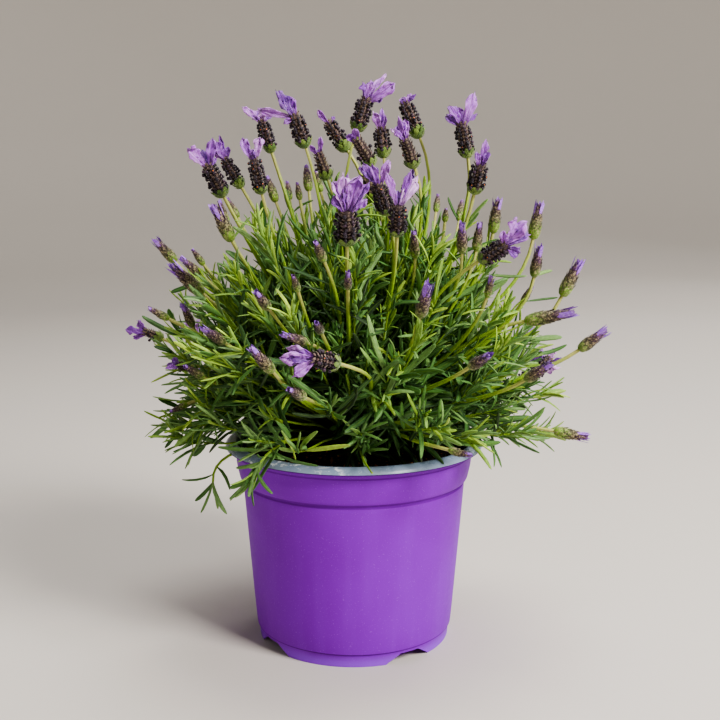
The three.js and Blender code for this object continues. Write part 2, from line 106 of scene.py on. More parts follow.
def tint(red, green, blue):
    """A colour given as it shows on a screen, 0 to 255, as the renderer's linear light."""
    def linear(level):
        share = level / 255
        return share / 12.92 if share <= 0.04045 else ((share + 0.055) / 1.055) ** 2.4
    return (linear(red), linear(green), linear(blue), 1.0)


class Out:
    """A node's output. Sums of outputs and numbers become Math nodes, so maths reads as written."""

    def __init__(self, tree, socket):
        self.tree, self.socket = tree, socket

    def other(self, name):
        return Out(self.tree, self.socket.node.outputs[name])

    def maths(self, operation, first, second=0.0):
        return self.tree.node("ShaderNodeMath", {"operation": operation}, {0: first, 1: second})

    def __add__(self, value):
        return self.maths("ADD", self, value)

    def __sub__(self, value):
        return self.maths("SUBTRACT", self, value)

    def __mul__(self, value):
        return self.maths("MULTIPLY", self, value)

    def __rsub__(self, value):
        return self.maths("SUBTRACT", value, self)

    def __abs__(self):
        return self.maths("ABSOLUTE", self)

    __radd__ = __add__
    __rmul__ = __mul__

    def rising(self, low, high):
        """0 below low, 1 above high, and a smooth slope between."""
        return self.tree.node("ShaderNodeMapRange", {"interpolation_type": "SMOOTHSTEP"},
                              {"Value": self, "From Min": low, "From Max": high})


class Tree:
    """A node tree being made. Every node comes from node(): its type, settings and sockets."""

    def __init__(self, nodes_and_links):
        self.made = nodes_and_links

    def node(self, kind, settings=None, sockets=None):
        node = self.made.nodes.new(kind)
        for name, value in (settings or {}).items():
            if name == "stops":
                while len(node.color_ramp.elements) < len(value):
                    node.color_ramp.elements.new(0.5)
                for element, (place, colour) in zip(node.color_ramp.elements, value):
                    element.position, element.color = place, colour
            else:
                setattr(node, name, value)
        for name, value in (sockets or {}).items():
            by_number = isinstance(name, int)
            socket = node.inputs[name] if by_number else next(
                s for s in node.inputs if s.name == name and s.enabled)
            if isinstance(value, Out):
                self.made.links.new(value.socket, socket)
            else:
                socket.default_value = value
        shown = [s for s in node.outputs if s.enabled]
        return Out(self, shown[0]) if shown else None


class Finish(Tree):
    """A material being made."""

    def __init__(self, name):
        self.material = bpy.data.materials.new(name)
        self.material.use_nodes = True
        super().__init__(self.material.node_tree)
        self.made.nodes.clear()

    def place(self):
        return self.node("ShaderNodeTexCoord").other("Object")

    def own(self, name):
        """A value kept on the piece's own points."""
        return self.node("ShaderNodeAttribute", {"attribute_name": name}).other("Fac")

    def grain(self, scale, detail=3.0, stretch=(1, 1, 1), rough=0.5):
        spot = self.node("ShaderNodeMapping", None, {"Vector": self.place(), "Scale": stretch})
        return self.node("ShaderNodeTexNoise", None, {
            "Vector": spot, "Scale": scale, "Detail": detail, "Roughness": rough})

    def mixed(self, share, first, second):
        return self.node("ShaderNodeMix", {"data_type": "RGBA"},
                         {"Factor": share, "A": first, "B": second})

    def washed(self, body, *washes):
        """A colour with others laid over it in turn, each with its share."""
        for share, colour in washes:
            body = self.mixed(share, body, tint(*colour))
        return body

    def ramp(self, share, *stops):
        """A run of colours, each given with its place from 0 to 1."""
        stops = [(place, tint(*colour)) for place, colour in stops]
        return self.node("ShaderNodeValToRGB", {"stops": stops}, {"Fac": share})

    def finish(self, colour, roughness, height=None, depth=0.0002, **fixed):
        """The surface itself: bump height in metres of depth, and whatever is the same all over."""
        sockets = {"Base Color": colour, "Roughness": roughness}
        sockets.update({name.replace("_", " "): value for name, value in fixed.items()})
        if height is not None:
            sockets["Normal"] = self.node("ShaderNodeBump", None,
                                          {"Strength": 1.0, "Distance": depth, "Height": height})
        shader = self.node("ShaderNodeBsdfPrincipled", None, sockets)
        self.node("ShaderNodeOutputMaterial", None, {"Surface": shader})
        return self.material


def floor_finish():
    made = Finish("pale_floor")
    return made.finish(tint(203, 197, 190), 0.85, made.grain(60, 4), 0.0001)


def piece_from(name, points, faces, materials=(), smooth=True, values=None):
    """A mesh object at the origin. The values are numbers or directions kept on its points."""
    mesh = bpy.data.meshes.new(name)
    mesh.from_pydata([tuple(p) for p in points], [], faces)
    for key, numbers in (values or {}).items():
        kind = {Vector: "FLOAT_VECTOR", int: "INT", float: "FLOAT"}[type(numbers[0])]
        store = mesh.attributes.new(key, kind, "POINT").data
        if kind == "FLOAT_VECTOR":
            store.foreach_set("vector", [c for n in numbers for c in n])
        else:
            store.foreach_set("value", numbers)
    for material in materials:
        mesh.materials.append(material)
    if smooth:
        mesh.shade_smooth()
    return in_scene(name, mesh)


def turned(profile, sides, unit=MM):
    """Points, faces and rows of faces of a profile of (radius, height) turned about the Z axis."""
    points, rings = [], []
    for radius, height in profile:
        radius, height = radius * unit, height * unit
        count = sides if radius > 0 else 1
        rings.append([len(points) + j for j in range(count)])
        for j in range(count):
            angle = 2 * math.pi * j / sides
            points.append(Vector((math.cos(angle) * radius, math.sin(angle) * radius, height)))
    faces, rows = [], []
    for row, (low, high) in enumerate(zip(rings, rings[1:])):
        for j in range(sides):
            k = (j + 1) % sides
            if len(low) == 1:
                faces.append((low[0], high[k], high[j]))
            elif len(high) == 1:
                faces.append((low[j], low[k], high[0]))
            else:
                faces.append((low[j], low[k], high[k], high[j]))
            rows.append(row)
    return points, faces, rows


FLOOR_SWEEP = [  # in metres
    (0, 0), (0.6, 0), (2.2, 0), (2.7, 0.05), (3.1, 0.2), (3.4, 0.5), (3.55, 1.0), (3.6, 2.6)]
FLOOR_SIDES = 96
floor_points, floor_faces, _ = turned(FLOOR_SWEEP, FLOOR_SIDES, unit=1)
floor = piece_from("floor", floor_points, floor_faces, [floor_finish()])

LAMPS = [  # where it stands, how wide it is, how strong, and how warm
    ("key", (1.45, -1.3, 1.6), 0.8, 92, (1.0, 0.97, 0.92)),
    ("fill", (-1.6, -1.6, 1.2), 1.4, 2.5, (0.95, 0.97, 1.0)),
    ("top", (0.2, 0.2, 2.2), 1.0, 30, (1.0, 0.98, 0.96)),
    ("back", (1.2, 2.0, 1.3), 1.2, 14, (1.0, 0.98, 0.96)),
]
LAMPS_AIM = Vector((0, 0, 0.2))
SKY_STRENGTH = 0.2
for lamp_name, spot, width, power, warmth in LAMPS:
    lamp = bpy.data.lights.new(lamp_name, "AREA")
    lamp.shape, lamp.size, lamp.energy, lamp.color = "SQUARE", width, power, warmth
    holder = in_scene(lamp_name, lamp)
    holder.location = spot
    holder.rotation_euler = (LAMPS_AIM - Vector(spot)).to_track_quat("-Z", "Y").to_euler()

sky = bpy.data.worlds.new("sky")
sky.use_nodes = True
daylight = sky.node_tree.nodes["Background"].inputs
daylight["Color"].default_value, daylight["Strength"].default_value = tint(222, 224, 228), SKY_STRENGTH
bpy.context.scene.world = sky
bpy.context.scene.view_settings.look = "AgX - Medium High Contrast"


# ---- pot ---------------------------------------------------------------------------------------
# One thin two-colour moulding, violet skin over a grey inside. It has a rolled lip, a collar that
# steps out over the body, and a foot ring with four notches under a floor with drain holes.

POT_OUTSIDE = [
    (0, 8.6), (66, 8.6), (68.4, 8.3), (69.1, 7.6), (69.2, 0.6), (69.6, 0.1), (70.7, 0.0), (71.1, 0.4),
    (71.9, 8.6), (72.2, 9.3), (73.0, 9.7), (73.3, 10.6), (74.6, 24.3), (77.6, 60), (80.5, 95.4),
    (82.0, 114.6), (82.2, 118.6), (82.0, 119.3), (82.2, 120.0), (83.1, 120.9), (84.2, 121.9),
    (84.7, 123), (85.4, 126), (86.5, 130.8), (87.0, 134), (87.2, 139.6), (87.5, 140.6),
    (88.4, 141.2), (88.8, 141.9), (88.9, 144.0), (89.2, 144.7), (93.6, 144.8), (94.6, 145.1),
    (95.0, 145.8),
]
POT_INSIDE = [
    (94.8, 146.7), (93.9, 147.9), (92.4, 149.1), (90.6, 149.8), (88.8, 150), (87.5, 149.7),
    (86.7, 148.9), (86.3, 147), (85.7, 139), (85.1, 131), (83.3, 123), (81.3, 120.6), (80.9, 118.6),
    (80.8, 116.4), (76.2, 70), (71.7, 11.6), (70.9, 10.6), (69.5, 10.2), (0, 10.2),
]
POT_SIDES = 160
NOTCH_HEIGHT = 7.2
NOTCH_ANGLES = (34, 124, 214, 304)
NOTCH_REACH = (56, 80)               # the foot ring lies between these radii
DRAIN_HOLES, DRAIN_RADIUS, DRAIN_CIRCLE = 6, 5, 52
SHADOW_LINES = [  # at the foot, the collar and the lip: lower and upper edge, and how dark
    (9.2, 10.1, 0.6), (118.4, 121.4, 0.45), (140.2, 141.4, 0.45), (143.8, 145.6, 0.8),
]
LINE_FADE = 0.4
SHARP_ANGLE = math.radians(38)


def violet_plastic():
    made = Finish("violet_plastic")
    up = made.node("ShaderNodeSeparateXYZ", None, {0: made.place()}).other("Z")
    cloud = made.grain(14, 2).rising(0.35, 0.65)
    fleck = made.grain(1100, 1).rising(0.66, 0.74)
    streak = made.grain(90, 3, (1, 1, 0.06)).rising(0.45, 0.75)
    foot = 1 - up.rising(0.002, 0.0105)
    body = made.washed(made.mixed(cloud, tint(122, 18, 174), tint(128, 26, 184)),
                       (streak * 0.1, (150, 70, 215)), (fleck * 0.3, (176, 110, 226)),
                       (foot * 0.6, (152, 84, 226)))
    # Painted shadow: thin dark bands painted into the colour at the foot, under the collar and under the lip,
    # where shade falls. These bands are also made rougher.
    painted_shadow_bands = up * 0
    for low, high, share in SHADOW_LINES:
        line = up.rising((low - LINE_FADE) * MM, low * MM)
        line = line * (1 - up.rising(high * MM, (high + LINE_FADE) * MM))
        body = made.mixed(line * share, body, tint(60, 6, 82))
        painted_shadow_bands = painted_shadow_bands + line
    roughness = made.grain(260, 3) * 0.16 + 0.42 + fleck * 0.1 + painted_shadow_bands * 0.4
    relief = made.grain(700, 2) * 0.4 + made.grain(40, 2) * 0.6
    return made.finish(body, roughness, relief, 0.00012, Specular_IOR_Level=0.2)


def grey_plastic():
    made = Finish("grey_plastic")
    scuff = made.grain(420, 4, (1, 1, 1), 0.7).rising(0.55, 0.72)
    dust = made.grain(60, 4).rising(0.4, 0.75)
    glint = made.grain(210, 4, (0.5, 1, 1), 0.7).rising(0.54, 0.62) * made.grain(24, 2).rising(0.48, 0.6)
    body = made.washed(made.mixed(dust * 0.3, tint(128, 144, 168), tint(160, 174, 192)),
                       (scuff * 0.5, (176, 188, 198)), (glint * 0.85, (244, 248, 252)))
    return made.finish(body, 0.26 + scuff * 0.25 + dust * 0.12, made.grain(500, 3), 0.0002)


def pot_cutters():
    """The notches of the foot ring and the drain holes, as one mesh of plain solids."""
    cutter = bmesh.new()
    for degrees in NOTCH_ANGLES:
        outline = [(-20, -2), (20, -2), (18.6, 0), (17.4, 1.2), (8.8, NOTCH_HEIGHT - 0.8),
                   (7.6, NOTCH_HEIGHT), (-7.6, NOTCH_HEIGHT), (-8.8, NOTCH_HEIGHT - 0.8),
                   (-17.4, 1.2), (-18.6, 0)]
        turn = Matrix.Rotation(math.radians(degrees), 3, "Z")
        near, far = ([cutter.verts.new(turn @ Vector((x, -radius, z)) * MM) for x, z in outline]
                     for radius in NOTCH_REACH)
        cutter.faces.new(near)
        cutter.faces.new(far[::-1])
        for j in range(len(outline)):
            k = (j + 1) % len(outline)
            cutter.faces.new((near[k], near[j], far[j], far[k]))
    for hole in range(DRAIN_HOLES):
        angle = 2 * math.pi * (hole + 0.5) / DRAIN_HOLES
        middle = Vector((math.cos(angle) * DRAIN_CIRCLE, math.sin(angle) * DRAIN_CIRCLE, 9)) * MM
        bmesh.ops.create_cone(cutter, cap_ends=True, segments=24, radius1=DRAIN_RADIUS * MM,
                              radius2=DRAIN_RADIUS * MM, depth=8 * MM, matrix=Matrix.Translation(middle))
    bmesh.ops.recalc_face_normals(cutter, faces=cutter.faces)
    mesh = bpy.data.meshes.new("pot_cutters")
    cutter.to_mesh(mesh)
    cutter.free()
    return in_scene("pot_cutters", mesh)


def settled(name, live, *helpers):
    """A plain mesh of an object with its modifiers worked out. The helpers it used are removed."""
    graph = bpy.context.evaluated_depsgraph_get()
    solid = bpy.data.meshes.new_from_object(
        live.evaluated_get(graph), preserve_all_data_layers=True, depsgraph=graph)
    for old in (live, *helpers):
        bpy.data.objects.remove(old)
    solid.name = name
    return in_scene(name, solid)


pot_points, pot_faces, pot_rows = turned(POT_OUTSIDE + POT_INSIDE, POT_SIDES)
pot_blank = piece_from("pot_blank", pot_points, pot_faces, [violet_plastic(), grey_plastic()], smooth=False)
for face, row in zip(pot_blank.data.polygons, pot_rows):
    face.material_index = 1 if row >= len(POT_OUTSIDE) - 1 else 0
cutters = pot_cutters()
cut = pot_blank.modifiers.new("notches", "BOOLEAN")
cut.operation, cut.solver, cut.object = "DIFFERENCE", "EXACT", cutters
pot = settled("nursery_pot", pot_blank, cutters)
pot.data.shade_smooth()
pot.data.set_sharp_from_angle(angle=SHARP_ANGLE)
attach(pot, "root")
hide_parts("pot")


# ---- peat --------------------------------------------------------------------------------------
# Dark peat fills the pot to about 12 mm under the lip. Its top is crumbly, with loose crumbs and
# orange-brown bits of fibre scattered over it. It is held by the pot alone.

SOIL_TOP = 137
SOIL_RADIUS = 84
SOIL_RINGS, SOIL_SIDES = 42, 120
SOIL_SIDE = [(0, 10.6), (70.2, 10.6), (79.6, 115.6), (83.8, 131)]
CRUMB_KINDS = 4


def peat():
    made = Finish("peat")
    fibre = made.grain(480, 5).rising(0.56, 0.68)
    damp = made.grain(55, 3).rising(0.35, 0.7)
    body = made.mixed(damp, tint(32, 23, 17), tint(60, 44, 32))
    body = made.mixed(fibre * 0.6, body, tint(112, 72, 40))
    return made.finish(body, 0.93, made.grain(520, 6, (1, 1, 1), 0.7), 0.002)


def crumb_finish():
    made = Finish("peat_crumbs")
    body = made.ramp(made.own("tone"), (0.0, (34, 24, 18)), (0.56, (66, 48, 34)),
                     (0.78, (124, 82, 44)), (0.9, (196, 124, 60)), (1.0, (214, 156, 92)))
    return made.finish(body, 0.9, made.grain(900, 4), 0.0006)


def soil_top(radius, angle):
    """Height of the crumbly surface, in metres, at a place in mm from the middle."""
    spot = Vector((math.cos(angle) * radius, math.sin(angle) * radius, 0))
    rough = noise.fractal(spot / 14, 1.0, 2.2, 4) * 2.2 + noise.noise(spot / 3.2) * 0.8
    return (SOIL_TOP + rough * min(1, (SOIL_RADIUS - radius) / 4)) * MM


soil_rings = [(SOIL_RADIUS * (1 - ring / SOIL_RINGS), SOIL_TOP) for ring in range(SOIL_RINGS)]
soil_points, soil_faces, _ = turned(SOIL_SIDE + soil_rings + [(0, SOIL_TOP)], SOIL_SIDES)
for point in soil_points[1 + 3 * SOIL_SIDES:]:
    point.z = soil_top(math.hypot(point.x, point.y) / MM, math.atan2(point.y, point.x))
soil = piece_from("peat", soil_points, soil_faces, [peat()])
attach(soil, "root")
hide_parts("soil")


def kept_units(label, units):
    """Loose shapes put away in a collection of their own, to be planted again and again."""
    shelf = bpy.data.collections.new(label)
    for unit in units:
        for home in list(unit.users_collection):
            home.objects.unlink(unit)
        shelf.objects.link(unit)
    return shelf


def run_tree(name, ground, tree, values):
    """Runs a geometry-node tree on an object, with its inputs set by name, to a plain mesh."""
    live = ground.modifiers.new(name, "NODES")
    live.node_group = tree
    for item in tree.interface.items_tree:
        if item.item_type == "SOCKET" and item.in_out == "INPUT" and item.name in values:
            live[item.identifier] = values[item.name]
    return settled(name, ground)


def tree_named(name, inputs):
    """An empty geometry-node tree with named inputs, and its maker."""
    group = bpy.data.node_groups.new(name, "GeometryNodeTree")
    group.interface.new_socket("Geometry", in_out="INPUT", socket_type="NodeSocketGeometry")
    for label, kind in inputs:
        group.interface.new_socket(label, in_out="INPUT", socket_type=kind)
    group.interface.new_socket("Geometry", in_out="OUTPUT", socket_type="NodeSocketGeometry")
    return group, Tree(group)


def planted_and_faced(grow, planted, finish):
    """The end of a tree: its shapes are made real and given their finish."""
    whole = grow.node("GeometryNodeRealizeInstances", None, {"Geometry": planted})
    faced = grow.node("GeometryNodeSetMaterial", None, {"Geometry": whole, "Material": finish})
    grow.node("NodeGroupOutput", None, {"Geometry": faced})


def scatter_tree():
    """Crumbs strewn over upward faces: each has its own turn, size and tone."""
    group, grow = tree_named("crumbs", [
        ("Crumbs", "NodeSocketCollection"), ("Per Square Metre", "NodeSocketFloat"),
        ("Smallest", "NodeSocketFloat"), ("Largest", "NodeSocketFloat"), ("Lowest", "NodeSocketFloat"),
        ("Seed", "NodeSocketInt"), ("Finish", "NodeSocketMaterial")])
    given = grow.node("NodeGroupInput")
    up = grow.node("ShaderNodeSeparateXYZ", None, {0: grow.node("GeometryNodeInputPosition")}).other("Z")
    high = grow.node("FunctionNodeCompare", {"operation": "GREATER_THAN"},
                     {"A": up, "B": given.other("Lowest")})
    spread = grow.node("GeometryNodeDistributePointsOnFaces", None, {
        "Mesh": given, "Selection": high, "Density": given.other("Per Square Metre"),
        "Seed": given.other("Seed")})

    def draw(least, most, step):
        return grow.node("FunctionNodeRandomValue", {"data_type": "FLOAT"},
                         {"Min": least, "Max": most, "Seed": given.other("Seed") + step})
    toned = grow.node("GeometryNodeStoreNamedAttribute", {"data_type": "FLOAT", "domain": "POINT"},
                      {"Geometry": spread, "Name": "tone", "Value": draw(0.0, 1.0, 1)})
    spin = grow.node("ShaderNodeCombineXYZ", None, {
        axis: draw(0, 6.28, 2 + k) for k, axis in enumerate("XYZ")})
    planted = grow.node("GeometryNodeInstanceOnPoints", None, {
        "Points": toned, "Pick Instance": True,
        "Instance": grow.node("GeometryNodeCollectionInfo", None, {
            "Collection": given.other("Crumbs"), "Separate Children": True, "Reset Children": True}),
        "Rotation": grow.node("FunctionNodeEulerToRotation", None, {"Euler": spin}),
        "Scale": grow.node("ShaderNodeCombineXYZ", None, {
            axis: draw(given.other("Smallest"), given.other("Largest"), 5 + k)
            for k, axis in enumerate("XYZ")})})
    planted_and_faced(grow, planted, given.other("Finish"))
    return group


def crumb(number):
    """A small uneven lump one metre across, to be scaled down."""
    lump = bmesh.new()
    bmesh.ops.create_icosphere(lump, subdivisions=1, radius=0.5)
    for corner in lump.verts:
        corner.co *= 1 + 0.5 * noise.noise(corner.co * 3 + Vector((number * 7.3, 0, 0)))
    points = [corner.co.copy() for corner in lump.verts]
    faces = [[corner.index for corner in face.verts] for face in lump.faces]
    lump.free()
    return piece_from(f"crumb_{number}", points, faces, smooth=False)


bed = piece_from("bed", soil_points, soil_faces)
crumbs = run_tree("peat_crumbs", bed, scatter_tree(), {
    "Crumbs": kept_units("crumb_shapes", [crumb(number) for number in range(CRUMB_KINDS)]),
    "Per Square Metre": 90000.0, "Smallest": 0.7 * MM, "Largest": 3.0 * MM, "Lowest": 0.1325,
    "Seed": 5, "Finish": crumb_finish()})
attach(crumbs, "root")


# ---- where the heads stand -----------------------------------------------------------------------
# Open heads have a dark spike with violet bracts; shut ones are mauve buds. Those in front stand
# where they are seen, and those on the far side are spread evenly over it by a rule.

CROWN_TOP = 149
CROWN = Vector((0, 0, CROWN_TOP * MM))
OPEN_HEADS = [  # both ends of the dark spike as seen and how far back, the tuft's size, the girth
    ((224, 197, -20), (208, 166, -24), 1.0, 1.05), ((242, 188, 25), (225, 160, 28), 0.9, 0.8),
    ((262, 194, -48), (254, 160, -54), 0.95, 0.85), ((272, 153, 12), (262, 122, 14), 0.9, 0.8),
    ((306, 148, -18), (295, 116, -20), 1.1, 1), ((348, 151, 48), (329, 124, 54), 0.7, 1),
    ((328, 180, 14), (319, 155, 15), 0.75, 1), ((356, 132, -4), (366, 100, -4), 1.15, 1),
    ((384, 158, 40), (381, 130, 45), 0.7, 1), ((373, 166, -31), (357, 140, -35), 0.6, 1),
    ((420, 138, 30), (405, 104, 34), 0.6, 1), ((415, 168, -32), (405, 140, -37), 0.9, 1),
    ((468, 158, 4), (462, 125, 4), 1.1, 1), ((474, 194, -42), (480, 166, -48), 0.8, 1),
    ((347, 245, -94), (347, 212, -104), 1.4, 1.35), ((397, 236, -92), (398, 206, -102), 1.2, 1),
    ((388, 215, -64), (378, 185, -71), 0.85, 1), ((376, 202, 26), (366, 176, 30), 0.6, 1),
    ((404, 200, 20), (410, 182, 22), 0.5, 0.8), ((479, 261, -88), (506, 245, -96), 1.2, 1),
    ((340, 364, -140), (314, 358, -147), 1.2, 1), ((163, 339, 38), (146, 332, 42), 0.85, 0.85),
    ((190, 366, -34), (178, 366, -40), 0.5, 0.7),
]
BUD_HEADS = [  # foot and tip as seen, and how far back each end is
    (232, 241, -38, 213, 204, -44), (227, 225, 15, 219, 200, 17), (238, 218, 52, 227, 198, 58),
    (176, 262, 10, 154, 239, 12), (201, 275, -32, 180, 257, -36), (204, 265, 32, 192, 249, 36),
    (203, 294, -22, 170, 264, -26), (276, 202, 38, 267, 176, 42), (290, 200, 68, 287, 181, 74),
    (300, 200, 24, 297, 182, 26), (309, 191, 70, 306, 165, 78), (321, 192, 46, 315, 170, 50),
    (436, 212, 58, 438, 194, 64), (445, 222, 18, 446, 208, 20), (459, 221, 66, 462, 200, 74),
    (493, 233, -6, 498, 198, -6), (533, 239, 12, 540, 202, 14), (462, 253, -64, 462, 222, -72),
    (476, 251, -18, 480, 222, -20), (534, 277, -26, 540, 245, -30), (415, 258, -54, 414, 230, -60),
    (562, 296, -8, 581, 259, -10), (525, 321, -52, 576, 312, -64), (579, 350, -36, 608, 329, -40),
    (525, 380, -82, 552, 363, -92), (554, 431, -44, 589, 438, -48), (420, 317, -106, 429, 283, -118),
    (470, 367, -124, 491, 354, -140), (449, 450, -104, 472, 456, -112), (269, 309, -102, 255, 291, -116),
    (225, 343, -76, 201, 327, -86), (193, 327, -8, 182, 303, -10), (169, 319, -20, 148, 308, -24),
    (273, 372, -118, 250, 347, -128), (204, 377, -62, 184, 366, -72), (308, 343, -108, 281, 334, -116),
    (304, 397, -134, 288, 389, -152), (324, 261, -96, 315, 241, -108), (187, 404, -40, 170, 412, -46),
    (298, 291, -108, 293, 275, -118), (321, 332, -126, 316, 322, -142), (348, 289, -102, 348, 271, -112),
    (487, 297, -70, 492, 276, -76), (522, 303, -14, 533, 285, -16),
]
HIDDEN_HEADS = 14
HIDDEN_LENGTH = 25
SMALL_TUFT = 1                       # the hidden head whose bracts are only half grown


def chance(count, kind):
    """An even draw from 0 to 1 that depends only on the two counts it is given."""
    wave = math.sin(count * 12.9898 + kind * 78.233) * 43758.5453
    return wave - math.floor(wave)


def between(low, high, count, kind):
    return low + (high - low) * chance(count, kind)


def outward(around, rise):
    return Vector((math.cos(around) * math.cos(rise), math.sin(around) * math.cos(rise), math.sin(rise)))


class Head:
    """A flower head: where it starts and ends, in metres, and how stout it is."""

    def __init__(self, foot, tip, tuft=1.0, stout=1.0):
        self.foot, self.tip, self.tuft, self.stout = foot, tip, tuft, stout
        self.length = (tip - foot).length
        self.way = (tip - foot).normalized()


open_heads = [Head(seen(*foot), seen(*tip), tuft, stout) for foot, tip, tuft, stout in OPEN_HEADS]
bud_heads = [Head(seen(*ends[:3]), seen(*ends[3:])) for ends in BUD_HEADS]
for i in range(HIDDEN_HEADS):
    around, rise = 10 + 160 * ((0.3 + i * 0.7549) % 1), 8 + 34 * ((0.6 + i * 0.5698) % 1)
    out = outward(math.radians(around), math.radians(rise))
    foot = CROWN + out * between(138, 146, i, 71) * MM
    tip = foot + (out + Vector((0, 0, 0.5))).normalized() * HIDDEN_LENGTH * MM
    (open_heads if i % 3 == 1 else bud_heads).append(Head(foot, tip, 0.5 if i == SMALL_TUFT else 1.0))


# ---- stems and stalks ------------------------------------------------------------------------------
# Square green stems rise from one short woody crown. Some carry flowers on bare stalks, some are
# leafy to the tip, and a few hang out over the lip of the pot.

HANGING_SHOOTS = [  # where each ends, as seen, and the way it hangs
    ((213, 482, -46), (0.1, -0.2, -0.98)), ((253, 478, -98), (-0.3, -0.4, -0.84)),
    ((182, 408, -14), (-0.82, -0.1, -0.55)), ((196, 428, -58), (-0.7, -0.4, -0.6)),
    ((506, 428, -46), (0.85, -0.3, -0.42)),
]
LEAFY_SHOOTS = 42
INNER_SHOOTS = 150
DOME_RADIUS = 168
LEAF_LENGTH = 38
GOLDEN_TURN = 2.399963
STEM_STEPS = 16
STEM_SIDES = 12
STEM_RADII = {"flower": (1.7, 1.25), "hanging": (1.7, 0.9), "leafy": (1.4, 0.6)}   # at the foot, at the tip
WANDER = 3.2
WANDER_SEED = 5
noise.seed_set(WANDER_SEED)          # without it each run would bend the stems another way


class Stem:
    """A stem along a cubic curve from the crown, which comes into its end along the end's way."""

    def __init__(self, foot, way, kind):
        around = math.atan2(foot.y, foot.x)
        start = Vector((math.cos(around) * 4, math.sin(around) * 4, CROWN_TOP - 8)) * MM
        across = foot - start
        leave = (across.normalized() + Vector((0, 0, 0.55))).normalized()
        self.controls = (start, start + leave * across.length * 0.36, foot - way * across.length * 0.3, foot)
        self.kind, self.length, self.foot_height = kind, across.length, foot.z

    def at(self, t):
        a, b, c, d = self.controls
        s = 1 - t
        return a * s ** 3 + b * 3 * s * s * t + c * 3 * s * t * t + d * t ** 3

    def along(self, t):
        a, b, c, d = self.controls
        s = 1 - t
        return ((b - a) * s * s + (c - b) * 2 * s * t + (d - c) * t * t).normalized()


def leafy_stem(index, count, start_turn, short, crowding=1.0):
    turn = index * GOLDEN_TURN + start_turn
    out = outward(turn, math.asin(0.02 + 0.97 * ((index + 0.5) / count) ** crowding))
    reach = DOME_RADIUS - LEAF_LENGTH * 0.8 + 38 * out.z ** 2 + between(-12, 8, index, 21) - short
    way = (out + Vector((0, 0, between(0.1, 0.5, index, 22)))).normalized()
    return Stem(CROWN + out * reach * MM, way, "leafy")


stems = [Stem(head.foot, head.way, "flower") for head in open_heads + bud_heads]
stems += [Stem(seen(*foot), Vector(way).normalized(), "hanging") for foot, way in HANGING_SHOOTS]
stems += [leafy_stem(i, LEAFY_SHOOTS, 0, 0) for i in range(LEAFY_SHOOTS)]
stems += [leafy_stem(i, INNER_SHOOTS, 1.1, between(-8, 46, i, 23), 0.56) for i in range(INNER_SHOOTS)]


def stem_finish():
    made = Finish("green_stem")
    along, bare = made.own("along"), made.own("bare")
    streak = made.grain(900, 3, (1, 1, 0.08)).rising(0.4, 0.6)
    young = made.mixed(streak * 0.5, tint(118, 156, 30), tint(162, 186, 66))
    wood = made.mixed(made.grain(300, 4), tint(36, 32, 14), tint(62, 58, 26))
    body = made.mixed(along.rising(0.22, 0.6), wood, young)
    pale = made.mixed(made.grain(240, 2), tint(188, 158, 122), tint(176, 184, 98))
    body = made.mixed(along.rising(0.8, 1.0) * bare * 0.7, body, pale)
    return made.finish(body, 0.6, made.grain(1400, 3, (1, 1, 0.2)), 0.0003)


def stem_tree():
    """A square, ridged stem along every path, as thick as the path's own radius."""
    group, grow = tree_named("stems", [
        ("Section", "NodeSocketObject"), ("Finish", "NodeSocketMaterial")])
    given = grow.node("NodeGroupInput")
    share = grow.node("GeometryNodeSplineParameter")
    marked = grow.node("GeometryNodeStoreNamedAttribute", {"data_type": "FLOAT", "domain": "POINT"},
                       {"Geometry": given, "Name": "along", "Value": share})
    section = grow.node("GeometryNodeObjectInfo", None, {"Object": given.other("Section")}).other("Geometry")
    skin = grow.node("GeometryNodeCurveToMesh", None, {
        "Curve": marked, "Profile Curve": section, "Fill Caps": True,
        "Scale": grow.node("GeometryNodeInputRadius")})
    smooth = grow.node("GeometryNodeSetShadeSmooth", None, {"Geometry": skin})
    planted_and_faced(grow, smooth, given.other("Finish"))
    return group


def path_object(name, routes):
    """Curves through lists of (point, radius)."""
    line = bpy.data.curves.new(name, "CURVE")
    line.dimensions = "3D"
    for route in routes:
        spline = line.splines.new("POLY")
        spline.points.add(len(route) - 1)
        for spot, (point, radius) in zip(spline.points, route):
            spot.co, spot.radius = (*point, 1), radius
    return in_scene(name, line)


def square_section():
    """Four rounded corners with a shallow groove along each side, one metre from middle to corner."""
    ring = []
    for j in range(STEM_SIDES):
        angle = 2 * math.pi * j / STEM_SIDES
        ring.append(Vector((math.cos(angle), math.sin(angle), 0)) * (1.0 if j % 3 == 0 else 0.8))
    section = path_object("stem_section", [[(point, 1.0) for point in ring]])
    section.data.splines[0].use_cyclic_u = True
    return section


def stem_route(stem, number):
    """Points and radii along a stem, which wanders a little between its ends."""
    thick, thin = STEM_RADII[stem.kind]
    route = []
    for step in range(STEM_STEPS + 1):
        t = step / STEM_STEPS
        wander = noise.noise_vector(Vector((number * 3.1, t * 2.6, 0))) * WANDER * MM * math.sin(math.pi * t)
        route.append((stem.at(t) + wander, (thick + (thin - thick) * t ** 0.7) * MM))
    return route


routes = [stem_route(stem, number) for number, stem in enumerate(stems)]


def grown_stems(name, kinds, section, tree, finish, bare):
    paths = path_object(name + "_paths", [r for r, stem in zip(routes, stems) if stem.kind in kinds])
    made = run_tree(name, paths, tree, {"Section": section, "Finish": finish})
    mark = made.data.attributes.new("bare", "FLOAT", "POINT")
    mark.data.foreach_set("value", [bare] * len(made.data.vertices))
    return made


section = square_section()
green_stem = stem_finish()
grow_stems = stem_tree()
flower_stalks = grown_stems("flower_stalks", ("flower",), section, grow_stems, green_stem, 1.0)
leafy_stems = grown_stems("leafy_stems", ("leafy", "hanging"), section, grow_stems, green_stem, 0.0)
bpy.data.objects.remove(section)


